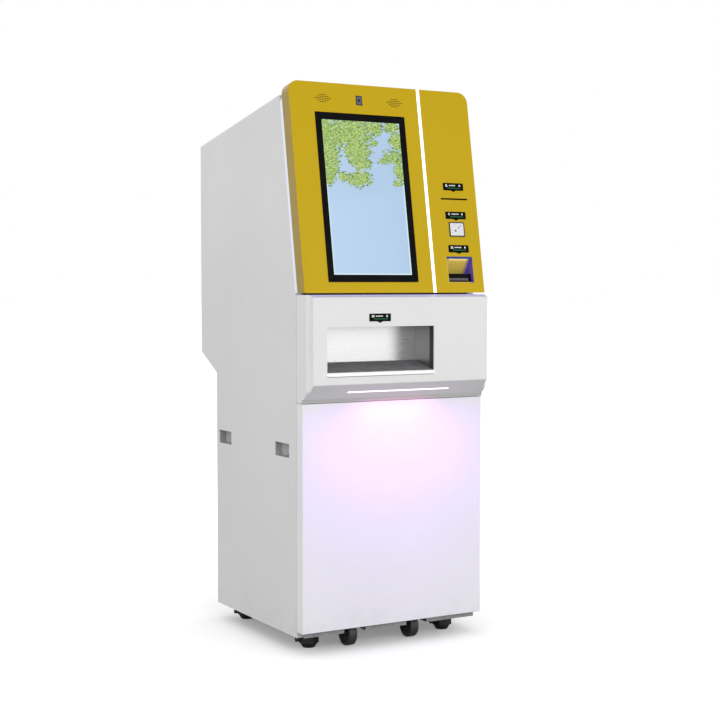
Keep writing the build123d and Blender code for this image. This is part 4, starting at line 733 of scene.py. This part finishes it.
def reader_pane():
    """Silver pane of the reader with a white border, a ring and an abstract hand-held stick."""
    across, up, out = outermost("contactless_reader")
    margin = 6.8 * MM
    width = across[1] - across[0] - margin
    height = up[1] - up[0] - margin
    spot = facing(FASCIA_AXES, middle(across), middle(up), out[1] - 1.2 * MM)
    print_foot = 0.5 * MM
    bm = bmesh.new()
    add_plate(bm, rounded(width, height, 1.5 * MM), 0, 0.6 * MM, spot, 0, 0.1 * MM)
    outer = rounded(width - 1.0 * MM, height - 1.0 * MM, 1.4 * MM)
    inner = rounded(width - 5.5 * MM, height - 5.5 * MM, 1.0 * MM)
    add_band(bm, outer, inner, print_foot, 0.75 * MM, spot, 1)
    ring_spot = (-5.5 * MM, -4.5 * MM)
    ring, hole = (circle(radius * MM, 36, *ring_spot) for radius in (9.2, 8.2))
    add_band(bm, ring, hole, print_foot, 0.85 * MM, spot, 1)
    add_plate(bm, circle(3.4 * MM, 5, *ring_spot), print_foot, 0.9 * MM, spot, 2)
    stick = [(1.0, 1.5), (2.2, 0.3), (17.2, 12.8), (16.0, 14.0)]
    add_plate(bm, [(x * MM, y * MM) for x, y in stick], print_foot, 0.9 * MM, spot, 2)
    make_piece("reader_pane", bm, "fascia_door", (SILVER, WHITE_INK, DARK_INK))


# ---- Take-out bin ----
def levels_along(points, axis):
    """The different places of the points along x, y or z (0, 1 or 2), in order."""
    return sorted({round(p[axis], 5) for p in points})


def bin_mat():
    """Ribbed mat that lies on the rising floor of the take-out bin."""
    points = solids_of("takeout_bin")[0]
    front_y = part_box("takeout_bin")[0].y
    back_y = levels_along(points, 1)[-2]
    floor_front = levels_along([p for p in points if p.y < front_y + 0.2 * MM], 2)[1]
    floor_back = levels_along([p for p in points if abs(p.y - back_y) < 0.1 * MM], 2)[0]
    rise = (floor_back - floor_front) / (back_y - front_y)
    walls = levels_along(points, 0)[1:-1]
    mat_front = front_y + 4 * MM
    mat_back = back_y - 2 * MM
    top = []
    foot = []
    for k in range(2 * MAT_RIBS + 1):
        y = mat_front + (mat_back - mat_front) * k / (2 * MAT_RIBS)
        floor = floor_front + rise * (y - front_y)
        foot.append((y, floor + 0.1 * MM))
        top.append((y, floor + MAT_SHEET + (MAT_RIB if k % 2 else 0.0)))
    outline = top + foot[::-1]
    bm = bmesh.new()
    ends = (walls[0] + MM, walls[-1] - MM)
    rings = [[bm.verts.new((x, y, z)) for y, z in outline] for x in ends]
    close_rings(bm, rings, 0)
    make_piece("bin_floor_mat", bm, "cabinet", (BIN_MAT,), 20)


def bin_edge_strip():
    """Black edging on the bin's right wall, just inside the window."""
    low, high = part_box("takeout_bin")
    near, far = -low.y - 0.4 * MM, -low.y - 20 * MM
    turned = (Vector((0, -1, 0)), Vector((0, 0, 1)), Vector((-1, 0, 0)))
    place = facing(turned, middle((far, near)), middle((low.z, high.z)), BIN_WALL - high.x)
    outline = rounded(near - far, high.z - low.z - 6 * MM, MM)
    bm = bmesh.new()
    add_plate(bm, outline, -0.1 * MM, 1.4 * MM, place, 0, 0.4 * MM)
    looks = (LOOKS["black_rubber"],)
    make_piece("bin_edge_strip", bm, "cabinet", looks)


def lip_shadow_strip():
    """Thin grey strip under the bin's lip: a painted shadow line."""
    low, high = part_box("bin_lip")
    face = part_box("mid_housing")[0].y
    level = low.z - 0.35 * LIP_SHADOW_HEIGHT
    place = facing(WORLD_AXES, middle((low.x, high.x)), level, -face)
    outline = rounded(high.x - low.x - 6 * MM, LIP_SHADOW_HEIGHT, LIP_SHADOW_HEIGHT / 2.1)
    bm = bmesh.new()
    add_plate(bm, outline, -0.4 * MM, 1.2 * MM, place, 0, 0.3 * MM)
    make_piece("lip_shadow_strip", bm, "cabinet", (LIP_SHADOW_GREY,))


# ---- Foam that closes the speaker slots ----
def open_loops(node, level, axes, depth):
    """Rims of the holes in a node's flat face, as lists of points across and up the face."""
    mesh = NODES[node].data
    count = {}
    for polygon in mesh.polygons:
        points = [mesh.vertices[i].co for i in polygon.vertices]
        if all(abs(p.dot(axes[2]) - level) < depth for p in points):
            keys = [(round(p.dot(axes[0]), 5), round(p.dot(axes[1]), 5)) for p in points]
            for a, b in zip(keys, keys[1:] + keys[:1]):
                count[(a, b)] = count.get((a, b), 0) + 1
    follow = {a: b for a, b in count if (b, a) not in count}
    loops = []
    while follow:
        start, nxt = follow.popitem()
        loop = [start]
        while nxt != start and nxt in follow:
            loop.append(nxt)
            nxt = follow.pop(nxt)
        loops.append(loop)
    return loops


def counterclockwise(outline):
    """The outline, turned round if it runs clockwise."""
    following = outline[1:] + outline[:1]
    twice_area = sum(a[0] * b[1] - b[0] * a[1] for a, b in zip(outline, following))
    return outline if twice_area >= 0 else outline[::-1]


def speaker_foam():
    """Dark foam just under the face in every speaker slot."""
    skin = spans([v.co for v in NODES["fascia_screen_panel"].data.vertices], FASCIA_AXES)
    face = skin[2][1]
    speakers = [spans(points, FASCIA_AXES) for points in solids_of("speakers")]
    longest_slot = 30 * MM
    bm = bmesh.new()
    for loop in open_loops("fascia_screen_panel", face, FASCIA_AXES, 0.02 * MM):
        x = sum(p[0] for p in loop) / len(loop)
        u = sum(p[1] for p in loop) / len(loop)
        wide = max(p[0] for p in loop) - min(p[0] for p in loop)
        over = any(a[0] < x < a[1] and b[0] < u < b[1] for a, b, _ in speakers)
        if over and wide < longest_slot and len(loop) > 3:
            outline = counterclockwise([(px - x, pu - u) for px, pu in loop])
            add_plate(bm, outline, -1.4 * MM, -0.4 * MM, facing(FASCIA_AXES, x, u, face))
    make_piece("speaker_foam", bm, "fascia_door", (FOAM,))


# ---- Screws on the back ----
def add_screw(bm, place):
    """Round head with a hexagonal socket."""
    count = 24
    # Share of the radius and share of the height; the last two rings are the socket.
    profile = [(1.0, 0.0), (1.0, 0.35), (0.88, 0.75), (0.66, 1.0), (0.44, 1.0), (0.42, 0.35)]
    socket = 4
    rings = []
    for level, (share, height) in enumerate(profile):
        ring = []
        for k in range(count):
            t = 2 * math.pi * k / count
            radius = share * SCREW_RADIUS
            if level >= socket:
                radius *= math.cos(math.pi / 6) / math.cos((t % (math.pi / 3)) - math.pi / 6)
            spot = Vector((radius * math.cos(t), radius * math.sin(t), height * SCREW_HEIGHT))
            ring.append(bm.verts.new(place @ spot))
        rings.append(ring)
    close_rings(bm, rings, 0)


def rear_screws():
    """Fixing screws of the upper back cover."""
    low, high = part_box("rear_cover")
    axes = (Vector((-1, 0, 0)), Vector((0, 0, 1)), Vector((0, 1, 0)))
    foot, top = low.z + SCREW_INSET, high.z - SCREW_INSET
    spots = []
    for x in (low.x + SCREW_INSET, high.x - SCREW_INSET):
        for row in range(SCREW_ROWS):
            spots.append((x, foot + (top - foot) * row / (SCREW_ROWS - 1)))
    spots += [(x, z) for x in SCREW_COLUMNS for z in (foot, top)]
    bm = bmesh.new()
    for x, z in spots:
        add_screw(bm, facing(axes, -x, z, high.y))
    looks = (LOOKS["bright_steel"],)
    make_piece("rear_cover_screws", bm, "cabinet", looks)


sign_prints()
camera_pane()
reader_pane()
bin_mat()
bin_edge_strip()
lip_shadow_strip()
speaker_foam()
rear_screws()


# ---- Studio ----
def studio_floor():
    """Pale floor that glows a little, and less under the object, which paints shade round it."""
    r = Recipe("studio_floor")
    seen = r.add("ShaderNodeLightPath").outputs["Is Camera Ray"]
    tone = r.mix(r.noise(0.4, 2), srgb("f0f0f0"), srgb("f4f4f4"))
    r.set(Base_Color=r.mix(seen, srgb("969696"), tone), Roughness=0.9)
    away = r.add("ShaderNodeVectorMath", {0: r.place}, operation="LENGTH").outputs["Value"]
    # The glow is weaker near the object: painted shade round its foot.
    glow = r.fit(away, *FLOOR_GLOW_REACH, *FLOOR_GLOW)
    r.set(Emission_Color=(1, 1, 1, 1), Emission_Strength=r.calc("MULTIPLY", seen, glow))
    r.set(Specular_IOR_Level=0.1)
    bm = bmesh.new()
    corners = rectangle(-FLOOR_HALF, FLOOR_HALF, -FLOOR_HALF, FLOOR_HALF)
    bm.faces.new([bm.verts.new((x, y, 0.0)) for x, y in corners])
    mesh = bpy.data.meshes.new("studio_floor")
    bm.to_mesh(mesh)
    bm.free()
    mesh.materials.append(r.material)
    floor = bpy.data.objects.new("studio_floor", mesh)
    bpy.context.scene.collection.objects.link(floor)


def soft_light(name, spot, target, width, height, power, colour=(1, 1, 1)):
    """Rectangular light aimed at a point."""
    data = bpy.data.lights.new(name, "AREA")
    data.shape = "RECTANGLE"
    data.size = width
    data.size_y = height
    data.energy = power
    data.color = colour
    light = bpy.data.objects.new(name, data)
    light.location = spot
    light.rotation_euler = (Vector(target) - Vector(spot)).to_track_quat("-Z", "Y").to_euler()
    light.visible_camera = False
    bpy.context.scene.collection.objects.link(light)
    return light


def keep_off_floor(*lights):
    """These lights don't fall on the studio floor."""
    apart = bpy.data.collections.new("not_lit_by_glow")
    apart.objects.link(bpy.data.objects["studio_floor"])
    apart.collection_objects[0].light_linking.link_state = "EXCLUDE"
    for light in lights:
        light.light_linking.receiver_collection = apart


def world_light():
    """White all round; what the camera sees directly is pure white."""
    world = bpy.data.worlds.new("studio")
    bpy.context.scene.world = world
    world.use_nodes = True
    tree = world.node_tree
    background = tree.nodes["Background"]
    background.inputs["Color"].default_value = (1, 1, 1, 1)
    path = tree.nodes.new("ShaderNodeLightPath")
    level = tree.nodes.new("ShaderNodeMapRange")
    level.inputs["To Min"].default_value = SKY_LEVEL
    level.inputs["To Max"].default_value = 1.0
    tree.links.new(path.outputs["Is Camera Ray"], level.inputs["Value"])
    tree.links.new(level.outputs["Result"], background.inputs["Strength"])


def ledge_glow():
    """Light of the lit bar in the ledge on the door below it."""
    low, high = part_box("ledge_light")
    door_low, door_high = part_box("lower_door_panel")
    x, y, top = middle((low.x, high.x)), door_low.y, door_high.z
    near = Vector((x, y - 0.05, top - 0.006))
    wide = Vector((x, y - 0.17, top - 0.06))
    pink = soft_light("glow_pink", near, (x, y, top - 0.12), 0.24, 0.02, 0.15, PINK)
    lavender = soft_light("glow_lavender", wide, (x, y, top - 0.5), 0.46, 0.05, 1.1, LAVENDER)
    keep_off_floor(pink, lavender)


def pocket_glow():
    """Small lamp under the pocket's upper rim."""
    x = middle(pocket_x)
    lamp = facing(FASCIA_AXES, x, pocket_up[1] - 6 * MM, pocket_out[1] - 6 * MM).translation
    aim = facing(FASCIA_AXES, x, pocket_up[0] + 30 * MM, pocket_out[0]).translation
    soft_light("glow_pocket", lamp, aim, 0.07, 0.006, 0.008, PALE_PINK)


def fascia_glow():
    """Light under the fascia on the top of the housing."""
    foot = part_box("fascia_screen_panel")[0]
    under = Vector((0, foot.y - 3 * MM, foot.z - MM))
    below = under + Vector((0, -4 * MM, -100 * MM))
    soft_light("glow_under_fascia", under, below, 0.60, 0.010, 0.025, PALE_LAVENDER)


def camera():
    """Camera at the viewing angle of the product picture."""
    data = bpy.data.cameras.new("camera")
    data.lens = LENS
    data.sensor_width = SENSOR
    data.clip_end = 200.0
    view = bpy.data.objects.new("camera", data)
    view.location = CAMERA_PLACE
    view.rotation_euler = (math.radians(90 - CAMERA_DOWN), 0, math.radians(CAMERA_TURN))
    bpy.context.scene.collection.objects.link(view)
    bpy.context.scene.camera = view


studio_floor()
world_light()
for light in STUDIO_LIGHTS:
    soft_light(*light)
ledge_glow()
pocket_glow()
fascia_glow()
camera()
bpy.context.scene.view_settings.view_transform = "Standard"
